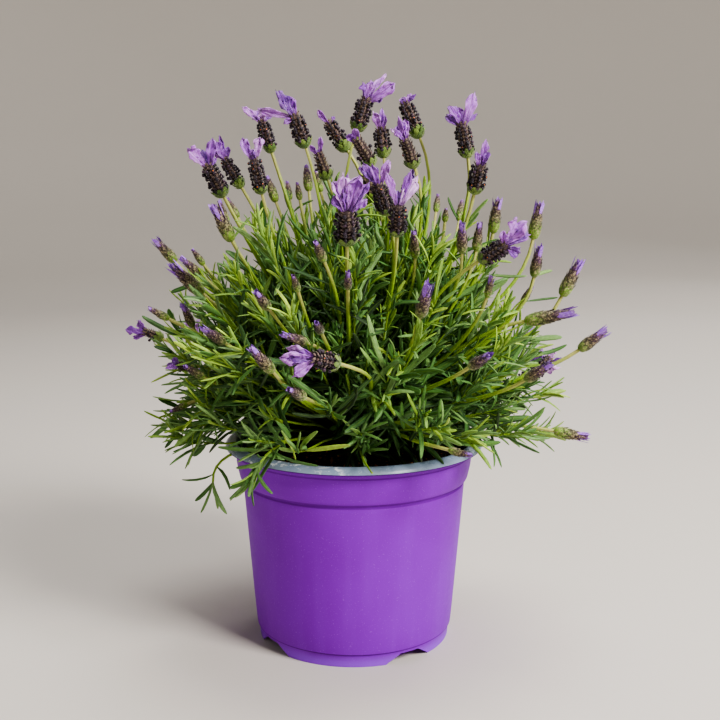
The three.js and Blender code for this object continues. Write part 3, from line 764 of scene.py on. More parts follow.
def bark():
    made = Finish("bark")
    ridge = made.grain(320, 5, (1, 1, 0.25), 0.65)
    body = made.mixed(ridge.rising(0.35, 0.65), tint(58, 46, 34), tint(118, 102, 78))
    return made.finish(body, 0.9, ridge, 0.0012)


CROWN_PROFILE = [(0, 108.5), (8.2, 108.6), (8.9, 110), (9, 128), (8.6, 138), (9.4, 143), (8.2, 148), (4, 151),
                 (0, 151.5)]
CROWN_SIDES = 28
ROUGH_ABOVE = 131                    # below this the crown fits the hole in the peat
crown_points, crown_faces, _ = turned(CROWN_PROFILE, CROWN_SIDES)
for point in crown_points:
    if point.z > ROUGH_ABOVE * MM:
        point += Vector((point.x, point.y, 0)) * 0.2 * noise.noise(point * 260)
woody_crown = piece_from("woody_crown", crown_points, crown_faces, [bark()])
for part in (flower_stalks, leafy_stems, woody_crown):
    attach(part, "root")
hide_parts("foliage")


# ---- leaves --------------------------------------------------------------------------------------
# Narrow leaves with rolled margins, in crossing pairs up every stem, with a tuft of small ones in
# each fork. They are grey-green below and yellow-green at the tips of the shoots. Painted shade
# makes the leaves deep in the dome near the crown darker, and painted light makes shoots that end on the left
# a little lighter.

LEAF_STATIONS = [(0, 0.36), (0.1, 0.5), (0.32, 0.86), (0.6, 1.0), (0.84, 0.9), (0.96, 0.58), (1, 0.2)]
LEAF_WIDTH = 4.4
LEAF_STRETCH = 8.6                   # how many times longer than wide
LEAF_SECTION = [  # across, up, how much of a rim it is, and 1 on the underside
    (-1, -0.35, 1, 0), (-0.62, 0.35, 0.6, 0), (0, 0, 0, 0), (0.62, 0.35, 0.6, 0), (1, -0.35, 1, 0),
    (0, -0.7, 0, 1)]
LEAF_THICKNESS = 0.035
LEAF_SHAPES = [  # how far the tip falls back, how far it swings aside, how deep the channel is
    (0.12, 0.06, 0.2), (0.34, -0.16, 0.26), (0.02, 0.14, 0.14), (-0.2, 0.05, 0.22), (0.56, 0.1, 0.3),
    (0.2, 0.26, 0.1), (-0.4, -0.12, 0.26), (0.1, -0.26, 0.3), (0.42, 0.3, 0.22), (-0.26, 0.28, 0.2),
]
FRONT_HOLLOW = (seen(312, 428, -84), seen(310, 440, -24))   # the gap where the peat shows
FRONT_HOLLOW_RADIUS = 25 * MM
LIP_TOP, LIP_RADIUS = 150, 95
LIP_CLEARANCE = 9
LIP_SEEN = (-64, 86)                 # the stretch of the lip that no leaf hides, in mm across
LIP_SIGHT = 0.252                    # how steeply the lip is looked down on
HANGS_LEFT_OF = -62                  # in mm: nothing hangs over the lip to the right of this
LEAF_DROOP = 0.14
LEAF_MARGIN = 1.5
LEAF_TURNS = 4                       # how many places about the stem are tried for a leaf
BROAD_SHARE, TUFT_SHARE = 0.12, 0.62
YOUNG_REACH = {"flower": 0.022, "hanging": 0.034, "leafy": 0.034}      # in metres down from the tip
LEAF_SPACING = (0.0036, 0.0072)      # in metres: at the tip, and how much more further down
SHOWN_STALK = 92                     # how much of a front stalk stays in view, in mm
SHOWN_CELL = 4                       # in pixels: how finely the view is divided
SHOWN_ABOVE, SHOWN_RIGHT_OF = 270, 400   # in pixels: where the heads are whose stalks stay in view
SHOWN_DEPTH = 30                     # in mm: stalks that end further back may be hidden


def tube_faces(first, rows, sides, mirrored=False):
    """Faces of a closed tube whose rings of points lie one after the other in a mesh."""
    faces = []
    for low in range(first, first + (rows - 1) * sides, sides):
        for j in range(sides):
            k = (j + 1) % sides
            faces.append((low + j, low + k, low + sides + k, low + sides + j))
    last = first + (rows - 1) * sides
    faces += [tuple(range(first + sides - 1, first - 1, -1)), tuple(range(last, last + sides))]
    return [face[:1] + face[:0:-1] for face in faces] if mirrored else faces


def ring_about_y(radius, y, sides):
    """Points about the Y axis; radius gives the distance of the j-th from it."""
    turns = [2 * math.pi * j / sides for j in range(sides)]
    return [Vector((math.cos(a) * radius(j), y, math.sin(a) * radius(j))) for j, a in enumerate(turns)]


def leaf_shape(number, fall, swing, channel):
    """A leaf one metre long and one wide, growing along +Y with its upper face to +Z."""
    points, edge, reach, under = [], [], [], []
    for y, wide in LEAF_STATIONS:
        for x, z, rim, below in LEAF_SECTION:
            z = z if x else -channel * 2 + z
            points.append(Vector((swing * y * y * LEAF_STRETCH + x * wide / 2, y,
                                  -fall * y * y + z * wide * LEAF_THICKNESS)))
            edge.append(float(rim))
            reach.append(float(y))
            under.append(float(below))
    faces = tube_faces(0, len(LEAF_STATIONS), len(LEAF_SECTION))
    return piece_from(f"leaf_{number}", points, faces, values={"edge": edge, "reach": reach, "under": under})


def leaf_finish():
    made = Finish("lavender_leaf")
    tone, edge, reach, under = (made.own(name) for name in ("tone", "edge", "reach", "under"))
    mottle = made.grain(420, 3).rising(0.35, 0.7)
    rib = (1 - edge).rising(0.7, 1.0)
    body = made.ramp(tone, (0.0, (22, 42, 18)), (0.3, (54, 96, 42)), (0.5, (86, 131, 60)),
                     (0.62, (121, 156, 92)), (0.78, (135, 172, 58)), (1.0, (184, 214, 84)))
    body = made.washed(body, (mottle * 0.3, (46, 76, 32)), (rib * (1 - under) * 0.25, (140, 178, 66)),
                       (edge.rising(0.75, 1.0) * 0.2, (138, 160, 108)), (under * 0.55, (112, 146, 84)),
                       ((1 - reach).rising(0.85, 1.0) * 0.35, (172, 186, 100)))
    relief = made.grain(900, 3) + rib * 0.4
    return made.finish(body, 0.5 + mottle * 0.14, relief, 0.0003)


def planting_tree():
    """Plants a shape on every point: attributes say which one, which way it grows and its size."""
    group, grow = tree_named("planting", [
        ("Shapes", "NodeSocketCollection"), ("Size", "NodeSocketFloat"), ("Finish", "NodeSocketMaterial")])
    given = grow.node("NodeGroupInput")

    def own(name, data_type):
        return grow.node("GeometryNodeInputNamedAttribute", {"data_type": data_type}, {"Name": name})
    turn = grow.node("FunctionNodeAxesToRotation", {"primary_axis": "Y", "secondary_axis": "Z"}, {
        "Primary Axis": own("grows", "FLOAT_VECTOR"), "Secondary Axis": own("faces", "FLOAT_VECTOR")})
    scale = grow.node("ShaderNodeVectorMath", {"operation": "SCALE"}, {
        "Vector": own("size", "FLOAT_VECTOR"), "Scale": given.other("Size")})
    planted = grow.node("GeometryNodeInstanceOnPoints", None, {
        "Points": given, "Pick Instance": True, "Instance Index": own("shape", "INT"),
        "Instance": grow.node("GeometryNodeCollectionInfo", None, {
            "Collection": given.other("Shapes"), "Separate Children": True, "Reset Children": True}),
        "Rotation": turn, "Scale": scale})
    planted_and_faced(grow, planted, given.other("Finish"))
    return group


class Bed:
    """Points to plant shapes on, with the way each grows and faces, its size, shape and tone."""

    def __init__(self):
        self.points = []
        self.values = {"grows": [], "faces": [], "size": [], "shape": [], "tone": []}

    def add(self, point, grows, faces, size, shape, tone):
        self.points.append(point)
        for kept, value in zip(self.values.values(), (grows, faces, Vector(size), shape, float(tone))):
            kept.append(value)

    def planted(self, name, shapes, finish):
        ground = piece_from(name + "_bed", self.points, [], smooth=False, values=self.values)
        return run_tree(name, ground, grow_planting, {"Shapes": shapes, "Size": MM, "Finish": finish})


def crossways(way):
    """Two directions square to a third, the first of them level."""
    across = Vector((-way.y, way.x, 0)).normalized()
    return across, way.cross(across).normalized()


def spoke(across, over, angle):
    """The direction at an angle between two that are square to each other."""
    return across * math.cos(angle) + over * math.sin(angle)


def kept_in_view():
    """Where in the picture the front buds and stalks are, in cells, and how far back they are there."""
    cells = {}

    def mark(low, high, steps, cells_beside):
        for share in steps:
            spot = low.lerp(high, share)
            x, y = picture_place(spot)
            for aside, above in cells_beside:
                cells[(x // SHOWN_CELL + aside, y // SHOWN_CELL + above)] = spot.y
    for head in bud_heads[:len(BUD_HEADS)]:
        mark(head.foot, head.tip, [k / 11 for k in range(12)], ((0, 0), (1, 0), (-1, 0), (0, 1), (0, -1)))
    for number, (stem, route) in enumerate(zip(stems, routes)):
        top = route[-1][0]
        top_x, top_y = picture_place(top)
        upright = top_y < SHOWN_ABOVE or top_x > SHOWN_RIGHT_OF
        if stem.kind == "flower" and number % 4 != 1 and top.y <= SHOWN_DEPTH * MM and upright:
            for (low, _), (high, _) in zip(route, route[1:]):
                if (top - low).length < SHOWN_STALK * MM:
                    mark(low, high, [k / 10 for k in range(10)], ((0, 0),))
    return cells


shown_cells = kept_in_view()


def leaf_point(root, grows, faces, length, reach):
    """A point along a leaf that bends down a little."""
    return root + grows * length * MM * reach - faces * LEAF_DROOP * length * MM * reach ** 2


def blocks_view(root, grows, faces, length):
    """Whether a leaf would lie across a bud or stalk that is in view."""
    for reach in (0.25, 0.4, 0.55, 0.7, 0.85, 1.0):
        point = leaf_point(root, grows, faces, length, reach)
        x, y = picture_place(point)
        if point.y < shown_cells.get((x // SHOWN_CELL, y // SHOWN_CELL), -1):
            return True
    return False


def in_the_way(point, hangs):
    """Whether a leaf there would touch the pot, the peat, the open gap in front or an open head."""
    radius = math.hypot(point.x, point.y) / MM
    height = point.z / MM
    above_lip = height > LIP_TOP + (LEAF_MARGIN if hangs else LIP_CLEARANCE)
    over_peat = radius < 80 - LEAF_MARGIN and height > SOIL_TOP + 4
    beside_pot = radius > LIP_RADIUS + LEAF_MARGIN and (
        hangs or height > LIP_TOP + LIP_CLEARANCE - 0.4 * (radius - LIP_RADIUS))
    if not (above_lip or over_peat or beside_pot):
        return True
    if not hangs and LIP_SEEN[0] * MM < point.x < LIP_SEEN[1] * MM and point.y < -0.06:
        if point.z < EYE.z - (point.y - EYE.y) * LIP_SIGHT:
            return True
    if hangs and point.x > HANGS_LEFT_OF * MM and height < 146:
        return True
    near, far = FRONT_HOLLOW
    share = max(0, min(1, (point - near).dot(far - near) / (far - near).length_squared))
    if (point - near.lerp(far, share)).length < FRONT_HOLLOW_RADIUS:
        return True
    for head in open_heads:
        rise = max(-1 * MM, min(head.length + 21 * MM * head.tuft, (point - head.foot).dot(head.way)))
        clear = 7.2 * head.stout if rise < head.length else 8 + 4 * head.tuft
        if (point - head.foot - head.way * rise).length < clear * MM:
            return True
    return False


def add_leaf(bed, root, along, turn, tilt, length, tone, draw, hangs):
    """A leaf on a stem, turned on about it where something is in the way, or else left out."""
    across, over = crossways(along)
    for attempt in range(LEAF_TURNS):
        out = spoke(across, over, turn + attempt * 0.9)
        grows = along * math.cos(tilt) + out * math.sin(tilt)
        faces = along * math.sin(tilt) - out * math.cos(tilt)
        blocked = any(in_the_way(leaf_point(root, grows, faces, length, reach), hangs)
                      for reach in (0.3, 0.65, 1.0))
        if not blocked and not blocks_view(root, grows, faces, length):
            broad = draw.random() < BROAD_SHARE and length > 26
            width = LEAF_WIDTH * min(1, length / 34) ** 0.9 * (1.3 if broad else draw.uniform(0.66, 1.05))
            tone = min(tone, 0.46) if broad else tone
            facing = (faces + grows.cross(faces) * draw.gauss(0, 0.35)).normalized()
            bed.add(root, grows, facing, (width, length, length), draw.randrange(len(LEAF_SHAPES)), tone)
            return


def dress_stem(bed, stem, route, draw):
    """Crossing pairs of leaves from the tip down, with tufts of small ones in their forks."""
    bare = {"flower": min(66 * MM, stem.length * 0.45), "hanging": 0, "leafy": 0}[stem.kind]
    top = stem.length - bare
    below, turn = 0.0, draw.uniform(0, 6.28)
    # Painted light: shoots that end on the left get a lighter leaf tone (sunny).
    sunny = draw.gauss(0, 0.08) + (0.08 if route[-1][0].x < -0.05 else 0)
    vigour = draw.uniform(0.82, 1.2)
    hangs = stem.kind == "hanging"
    while below < top * 0.86:
        t = (top - below) / stem.length
        row = t * STEM_STEPS
        step = min(int(row), STEM_STEPS - 1)
        root, along = route[step][0].lerp(route[step + 1][0], row - step), stem.along(t)
        young = max(0.0, 1 - below / YOUNG_REACH[stem.kind])
        # Painted shade: shade grows with the distance from the crown. Leaves deep in the dome are painted
        # darker, and those further out are painted lighter.
        shade = min(1.15, (root - CROWN).length / 0.15)
        length = LEAF_LENGTH * vigour * (1 - 0.5 * young) * draw.uniform(0.62, 1.16)
        tilt = (0.9 - 0.6 * young) * draw.uniform(0.45, 1.35)
        for side in (0, math.pi):
            tone = min(1, max(0, 0.48 * shade ** 1.1 + 0.27 * young + sunny + draw.gauss(0, 0.16)))
            add_leaf(bed, root, along, turn + side + draw.gauss(0, 0.16), tilt * draw.uniform(0.75, 1.25),
                     length * draw.uniform(0.8, 1.12), tone, draw, hangs)
        if below > 0.012 and draw.random() < TUFT_SHARE and t > 0.3:
            for _ in range(draw.randint(2, 5)):
                tone = min(1, 0.29 + 0.54 * shade ** 1.2 + draw.gauss(0, 0.1))
                add_leaf(bed, root, along, turn + draw.choice((0, math.pi)) + draw.gauss(0, 0.6),
                         draw.uniform(0.15, 0.7), draw.uniform(9, 24), tone, draw, hangs)
        below += (LEAF_SPACING[0] + LEAF_SPACING[1] * (1 - young)) * draw.uniform(0.8, 1.25)
        turn += math.pi / 2 + draw.gauss(0, 0.25)


LEAVES_SEEN = [  # from where to where each is seen, its width in mm, its tone and which shape it has
    (252, 281, 227, 250, 6.5, 0.42, 1), (190, 291, 171, 292, 4.5, 0.3, 0),
    (207, 300, 184, 296, 2.6, 0.2, 6), (193, 341, 142, 316, 4.6, 0.34, 2),
    (187, 335, 168, 309, 5.2, 0.4, 3), (175, 352, 154, 347, 3.6, 0.3, 4),
    (531, 338, 562, 337, 5.4, 0.6, 0), (536, 352, 567, 345, 4.2, 0.34, 6),
    (535, 281, 552, 270, 3.2, 0.66, 2), (529, 301, 558, 297, 2.2, 0.26, 9),
    (490, 278, 527, 276, 2.8, 0.6, 7), (268, 362, 277, 335, 5.0, 0.52, 0),
    (286, 352, 281, 333, 4.8, 0.44, 3), (348, 403, 316, 405, 4.6, 0.5, 2),
    (268, 395, 243, 387, 4.6, 0.5, 1), (443, 377, 457, 343, 3.8, 0.62, 0),
    (477, 301, 508, 279, 3.8, 0.62, 3), (433, 439, 469, 428, 4.6, 0.4, 0),
    (432, 399, 464, 396, 3.4, 0.56, 2), (173, 412, 152, 439, 4.4, 0.5, 8),
    (173, 412, 158, 398, 4.4, 0.3, 0), (179, 424, 165, 448, 3.6, 0.3, 2),
    (201, 424, 178, 446, 4.4, 0.4, 3), (198, 441, 173, 452, 2.0, 0.36, 5),
    (205, 439, 193, 456, 4.4, 0.36, 0), (207, 471, 182, 480, 2.4, 0.42, 9),
    (212, 478, 195, 501, 3.6, 0.36, 3), (214, 487, 201, 513, 2.2, 0.56, 5),
    (214, 480, 226, 514, 3.6, 0.6, 7), (214, 484, 218, 509, 2.4, 0.66, 0),
    (211, 459, 231, 489, 2.8, 0.4, 8), (251, 474, 230, 488, 4.2, 0.52, 0),
    (254, 476, 249, 492, 2.6, 0.66, 2), (257, 470, 272, 494, 2.8, 0.46, 7),
    (262, 457, 285, 459, 4.0, 0.5, 0), (258, 457, 236, 468, 3.2, 0.6, 3),
    (252, 421, 227, 416, 4.4, 0.56, 1), (270, 402, 230, 435, 3.8, 0.6, 8),
    (262, 425, 246, 450, 4.6, 0.54, 0), (290, 406, 294, 438, 4.6, 0.5, 2),
    (272, 424, 291, 438, 4.8, 0.5, 0), (265, 397, 244, 387, 4.2, 0.4, 4),
    (262, 228, 262, 200, 4.6, 0.34, 3), (294, 216, 285, 189, 4.4, 0.36, 0),
    (293, 214, 313, 200, 2.6, 0.5, 5), (352, 424, 330, 430, 5.0, 0.46, 4),
    (238, 240, 250, 217, 2.4, 0.66, 2), (474, 224, 488, 199, 3.4, 0.64, 0),
    (429, 216, 424, 195, 2.6, 0.3, 3), (455, 217, 448, 197, 2.6, 0.26, 2),
    (362, 455, 366, 466, 3.6, 0.56, 4),
]
NEAR_ENOUGH = 26                     # in pixels: how far a seen leaf's root may be from its stem


def add_seen_leaf(bed, x, y, tip_x, tip_y, width, tone, shape, draw):
    """A leaf that ends where it is seen to end, on the stem that passes nearest to its root."""
    def miss(spot):
        across, down = picture_place(spot)
        return math.hypot(across - x, down - y) + (spot.y - EYE.y) * 12
    root = min((spot for route in routes for spot, _ in route[4:]), key=miss)
    across, down = picture_place(root)
    if math.hypot(across - x, down - y) > NEAR_ENOUGH:
        return
    tip = seen(tip_x, tip_y, root.y / MM + draw.uniform(-9, 3))
    reach, length = tip - root, (tip - root).length
    fall, swing, _ = LEAF_SHAPES[shape]
    bent = Vector((swing * LEAF_STRETCH * width * MM, length, -fall * length))
    shrink = length / bent.length
    toward = (EYE - root).normalized() * 0.7 + Vector((draw.uniform(-0.3, 0.3), 0, 0.6))

    def framed(way, face):
        way = way.normalized()
        face = (face - way * face.dot(way)).normalized()
        return Matrix((way.cross(face), way, face)).transposed()
    turn = framed(reach, toward) @ framed(bent, Vector((0, 0, 1))).transposed()
    bed.add(root, turn @ Vector((0, 1, 0)), turn @ Vector((0, 0, 1)),
            (width, length / MM * shrink, length / MM * shrink), shape, tone)


LEAF_PIECES = {"flower": 2, "leafy": 5, "hanging": 1}
SEEN_LEAVES_ONLY = 140               # in mm: hanging shoots that end lower carry no other leaves
LEAF_SEED = 11
grow_planting = planting_tree()
leaf_shelf = kept_units("leaf_shapes", [leaf_shape(i, *bend) for i, bend in enumerate(LEAF_SHAPES)])
lavender_leaf = leaf_finish()
leaf_draw = random.Random(LEAF_SEED)
leaf_beds = {}
for leaf_seen in LEAVES_SEEN:
    add_seen_leaf(leaf_beds.setdefault("seen", Bed()), *leaf_seen, leaf_draw)
for number, (stem, route) in enumerate(zip(stems, routes)):
    if stem.kind == "hanging" and stem.foot_height < SEEN_LEAVES_ONLY * MM:
        continue
    key = f"{stem.kind}_{number % LEAF_PIECES[stem.kind] + 1}"
    dress_stem(leaf_beds.setdefault(key, Bed()), stem, route, leaf_draw)
for key, bed_of_leaves in leaf_beds.items():
    leaves = bed_of_leaves.planted(f"leaves_{key}", leaf_shelf, lavender_leaf)
    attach(leaves, "root")


# ---- buds ----------------------------------------------------------------------------------------
# A shut head is an oval of overlapping scales on the end of its stalk: yellow-green at the base,
# mauve-brown in the middle, drawn out to a violet tip.

BUD_RADII, BUD_SLIMNESS = (2.8, 5.5), 0.19
BUD_OUTLINE = [  # share of the height, and of the radius
    (0, 0.42), (0.04, 0.74), (0.13, 0.97), (0.28, 1.0), (0.46, 0.86), (0.62, 0.64), (0.78, 0.4), (0.92, 0.16)]
BUD_SIDES, BUD_CORE = 10, 0.84
BUD_ROWS, BUD_SCALES = 9, 6
BUD_TIPS = [  # plain, usual and long-tipped: how many bracts, how spread, how long and how wide
    (3, 0.6, 0.22, 0.7), (3, 0.7, 0.3, 0.7), (6, 0.9, 0.42, 0.5)]
TIP_LEANS, TIP_LENGTHS = (0.45, 0.8, 1.6, 0.3, 1.2, 0.7), (1.1, 0.95, 0.75, 0.7, 0.9, 1.0)
LONG_TIPPED = (0, 3, 6, 15, 16, 19, 21, 22, 23, 25, 26, 31, 42)       # with violet bracts out already
PLAIN_TIPPED = (1, 2, 5, 7, 8, 9, 10, 11, 12, 13, 14, 34, 36, 37, 38, 39, 40)


def scale_patch(points, faces, root, grows, faces_to, length, width):
    """A small cupped scale with a raised point: twelve points, appended to a mesh in the making."""
    side = grows.cross(faces_to).normalized()
    first = len(points)
    for y, wide, lift in ((0, 0.7, 0), (0.45, 1.0, 0.12), (0.8, 0.66, 0.1), (1.0, 0.12, 0.02)):
        for x, drop in ((-1, 0.3), (0, 0), (1, 0.3)):
            points.append(root + grows * length * y + side * x * wide * width / 2
                          + faces_to * (lift * length - drop * wide * width * 0.5))
    for row in range(3):
        for j in range(2):
            a = first + row * 3 + j
            faces.append((a, a + 1, a + 4, a + 3))


def scale_rim(k):
    """1 on the rim of a scale, 0 along its middle, at its k-th point."""
    return 1.0 if k % 3 != 1 or k > 8 else 0.0


def bud_girth(y):
    """Half the bud's width at a share of its height, as a share of its radius."""
    for (low, wide_low), (high, wide_high) in zip(BUD_OUTLINE, BUD_OUTLINE[1:]):
        if y <= high:
            return wide_low + (wide_high - wide_low) * (y - low) / (high - low)
    return BUD_OUTLINE[-1][1]


def bud_shape(number):
    """A bud one long and one thick, growing along +Y, with a few small bracts at its tip."""
    points = []
    for y, wide in BUD_OUTLINE:
        points += ring_about_y(lambda j: wide * BUD_CORE, y, BUD_SIDES)
    faces = tube_faces(0, len(BUD_OUTLINE), BUD_SIDES, mirrored=True)
    up, edge = [point.y for point in points], [0.8] * len(points)

    def scale(y, angle, length, width, lean, lift):
        out = Vector((math.cos(angle), 0, math.sin(angle)))
        before = len(points)
        grows = (Vector((0, 1, 0)) + out * lean).normalized()
        scale_patch(points, faces, out * bud_girth(y) * 0.86 + Vector((0, y, 0)), grows, out, length, width)
        for k in range(len(points) - before):
            up.append(min(1.0, y + lift + 0.1 * (k // 3) / 3 + 0.05 * chance(before + number * 31, 52)))
            edge.append(scale_rim(k))

    for row in range(BUD_ROWS):
        y = 0.01 + 0.8 * (row / (BUD_ROWS - 1)) ** 0.9
        for j in range(BUD_SCALES):
            angle = 2 * math.pi * (j + 0.5 * (row % 2)) / BUD_SCALES + 0.12 * math.sin(row * 5 + j * 3)
            slope = (bud_girth(min(0.95, y + 0.1)) - bud_girth(y)) * 1.2
            rough = chance(row * 7 + j + number * 91, 55)
            scale(y, angle, 0.15 + 0.07 * rough, 0.9 * (1 - 0.5 * y), slope + 0.34 + 0.66 * rough, 0.0)
    count, spread, length, width = BUD_TIPS[number]
    for k in range(count):
        lean, long = TIP_LEANS[k] * spread, length * TIP_LENGTHS[k]
        scale(1.0 - long, k * 2.2 + number, long * (1 + 0.3 * lean), width, lean - 0.25, long)
    return piece_from(f"bud_{number}", [Vector((p.x * 0.5, p.y, p.z * 0.5)) for p in points], faces,
                      values={"up": up, "edge": edge})


def bud_finish():
    made = Finish("bud_scales")
    up, edge, tone = made.own("up"), made.own("edge"), made.own("tone")
    fleck = made.grain(820, 3, rough=0.7).rising(0.5, 0.6)
    dark = made.grain(560, 3, rough=0.7).rising(0.44, 0.58)
    pale = made.grain(760, 3, rough=0.6).rising(0.45, 0.62) * up.rising(0.86, 1.0)
    scaly = 1 - up.rising(0.8, 1.0)
    body = made.ramp(up + tone * 0.4 - 0.14, (0.0, (140, 184, 44)), (0.22, (122, 158, 56)),
                     (0.42, (104, 106, 66)), (0.58, (84, 62, 66)), (0.78, (116, 70, 122)),
                     (0.94, (150, 92, 208)))
    body = made.washed(body, (dark * scaly * up.rising(0.05, 0.25) * 0.8, (36, 24, 26)),
                       (fleck * scaly * 0.7, (190, 172, 132)), (pale * 0.6, (204, 160, 238)),
                       (edge.rising(0.4, 1.0) * (scaly * 0.5 + 0.3) * 0.6, (38, 20, 28)))
    return made.finish(body, 0.66, made.grain(1500, 3), 0.0004, Sheen_Weight=0.25, Sheen_Roughness=0.4)


bud_bed = Bed()
for number, head in enumerate(bud_heads):
    girth = 2 * max(BUD_RADII[0], min(BUD_RADII[1], BUD_SLIMNESS * head.length / MM))
    plain, opened = number in PLAIN_TIPPED, number in LONG_TIPPED
    bud_bed.add(head.foot, head.way, spoke(*crossways(head.way), number * 1.7),
                (girth, head.length / MM, girth), 0 if plain else 2 if opened else 1,
                chance(number, 51) * 0.4 if plain else 0.1 + chance(number, 51) * 0.7)
bud_shelf = kept_units("bud_shapes", [bud_shape(number) for number in range(len(BUD_TIPS))])
buds = bud_bed.planted("buds", bud_shelf, bud_finish())
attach(buds, "root")


# ---- flower spikes -------------------------------------------------------------------------------
# Each open head is a blunt spike of close calyces in upright rows. Near-black little florets stand
# out of them, some with an orange speck of pollen, over a cup of rounded green scales.

SPIKE_RADIUS = 4.9
FLORET_COLUMNS, FLORET_PITCH = 8, 2.3
UNRIPE_HEADS = (6, 9, 11, 17, 18, 21, 22)     # few of their florets are out yet
UNRIPE_SHARE = 0.8
GREEN_SHARE = 0.2                             # how much of the spike is its green cup
SPIKE_SEED = 23
CORE_ROWS, CORE_SIDES = 8, 10
FLORET_SIDES = 8
FLORET_OUTLINE = [  # share of the height and the width, how lobed it is, and 1 in the mouth
    (0, 0.5, 0, 0), (0.4, 0.95, 0.04, 0), (0.75, 1.05, 0.12, 0), (0.98, 0.6, 0.2, 0), (0.9, 0.26, 0, 1)]


def spike_girth(t):
    """How wide the spike is at a share of its height, as a share of its full radius."""
    rounded = 0.5 + 0.5 * math.sqrt(1 - (1 - min(1, t / 0.14)) ** 2)
    return (0.74 + 0.26 * math.sin(math.pi * min(1, 0.2 + t * 0.72))) * rounded


def floret_shape():
    """A bead-like flower with a lobed mouth, opening along +Y, one across."""
    points, dot = [], []
    for y, wide, lobed, mark in FLORET_OUTLINE:
        radius = 0.5 * wide
        points += ring_about_y(lambda j: radius * (1 + (lobed if j % 2 == 0 else -lobed)), y, FLORET_SIDES)
        dot += [float(mark)] * FLORET_SIDES
    faces = tube_faces(0, len(FLORET_OUTLINE), FLORET_SIDES, mirrored=True)
    return piece_from("floret_0", points, faces, values={"dot": dot})


def calyx_shape():
    """A cupped, pointed scale one long and one wide, growing along +Y with its back to +Z."""
    points, faces = [], []
    scale_patch(points, faces, Vector((0, 0, 0)), Vector((0, 1, 0)), Vector((0, 0, 1)), 1.0, 0.8)
    return piece_from("calyx_0", points, faces, values={"edge": [scale_rim(k) for k in range(len(points))]})


def floret_finish():
    made = Finish("dark_florets")
    dot, tone = made.own("dot"), made.own("tone")
    pollen = dot.rising(0.35, 0.9) * tone.rising(0.86, 0.9)
    body = made.mixed(made.grain(900, 2).rising(0.3, 0.8), tint(10, 4, 14), tint(44, 18, 50))
    body = made.washed(body, (tone.rising(0.3, 0.0) * 0.5, (84, 50, 78)), (pollen, (240, 124, 20)))
    return made.finish(body, 0.5, made.grain(1600, 2), 0.0003, Sheen_Weight=0.15)


def calyx_finish():
    made = Finish("calyces")
    edge, tone = made.own("edge"), made.own("tone")
    fleck = made.grain(1500, 3).rising(0.4, 0.62)
    body = made.ramp(tone, (0.0, (68, 106, 32)), (0.3, (138, 164, 72)), (0.34, (124, 110, 72)),
                     (0.6, (98, 64, 62)), (1.0, (60, 32, 46)))
    body = made.washed(body, (fleck * tone.rising(0.3, 0.4) * 0.7, (176, 152, 136)),
                       (made.grain(500, 3).rising(0.5, 0.65) * 0.4, (58, 34, 40)),
                       (edge.rising(0.4, 1.0) * (tone.rising(0.3, 0.4) * 0.35 + 0.15), (24, 12, 18)))
    return made.finish(body, 0.72, fleck, 0.0003, Sheen_Weight=0.3, Sheen_Roughness=0.4)


def spike_core_finish():
    made = Finish("spike_core")
    body = made.mixed(made.grain(700, 3), tint(34, 22, 30), tint(66, 48, 44))
    body = made.mixed(made.own("green"), body, tint(92, 130, 42))
    return made.finish(body, 0.8, made.grain(900, 3), 0.0006)


floret_bed, calyx_bed = Bed(), Bed()
core_points, core_faces, core_green = [], [], []
spike_draw = random.Random(SPIKE_SEED)
for number, head in enumerate(open_heads):
    across, over = crossways(head.way)
    radius = SPIKE_RADIUS * head.stout
    first = len(core_points)
    for row in range(CORE_ROWS):
        t = row / (CORE_ROWS - 1)
        wide = radius * spike_girth(t) * (0.6 if row in (0, CORE_ROWS - 1) else 0.8)
        for j in range(CORE_SIDES):
            core_points.append(head.foot + head.way * head.length * t
                               + spoke(across, over, 2 * math.pi * j / CORE_SIDES) * wide * MM)
            core_green.append(1.0 if row < 2 else 0.0)
    core_faces += tube_faces(first, CORE_ROWS, CORE_SIDES)
    rows = max(4, round(head.length / MM / FLORET_PITCH))
    for row in range(rows + 1):
        t = row / rows
        spot = head.foot + head.way * head.length * t
        green = t < GREEN_SHARE
        for column in range(FLORET_COLUMNS):
            turn = 2 * math.pi * (column + (0.5 if green and row % 2 else 0)) / FLORET_COLUMNS + number
            turn += spike_draw.gauss(0, 0.05)
            out = spoke(across, over, turn)
            wide = radius * spike_girth(t) * MM
            tone = spike_draw.uniform(0.05, 0.3) if green else spike_draw.uniform(0.4, 1.0)
            if number in UNRIPE_HEADS and not green:
                tone = spike_draw.uniform(0.32, 0.72)
            calyx_out = spoke(across, over, turn + (0 if green else math.pi / FLORET_COLUMNS))
            calyx_size = radius * (1.0 if green else spike_draw.uniform(0.46, 0.7))
            lean = 0.95 - 4.2 * t if green else spike_draw.uniform(0.2, 0.75)
            calyx_bed.add(spot + calyx_out * wide * (0.96 if green else 0.76),
                          (head.way + calyx_out * lean).normalized(), calyx_out,
                          (calyx_size, calyx_size * (1.05 if green else 0.9), calyx_size), 0, tone)
            shy = number in UNRIPE_HEADS and spike_draw.random() < UNRIPE_SHARE
            if not green and not shy and t < 0.99:
                tilt = spike_draw.uniform(0.2, 0.7)
                size = spike_draw.uniform(1.4, 2.4) * (0.7 + 0.3 * head.stout)
                root = (spot + out * wide * spike_draw.uniform(0.8, 0.98)
                        + head.way * spike_draw.gauss(0, 0.5) * MM)
                floret_bed.add(root, (out + head.way * tilt).normalized(), head.way,
                               (size, size * 1.15, size), 0, spike_draw.random())
spike_cores = piece_from("spike_cores", core_points, core_faces, [spike_core_finish()],
                         values={"green": core_green})
calyces = calyx_bed.planted("calyces", kept_units("calyx_shapes", [calyx_shape()]), calyx_finish())
florets = floret_bed.planted("florets", kept_units("floret_shapes", [floret_shape()]), floret_finish())
for part in (spike_cores, calyces, florets):
    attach(part, "root")
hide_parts(*[f"spike_{number + 1:02d}" for number in range(len(open_heads))])


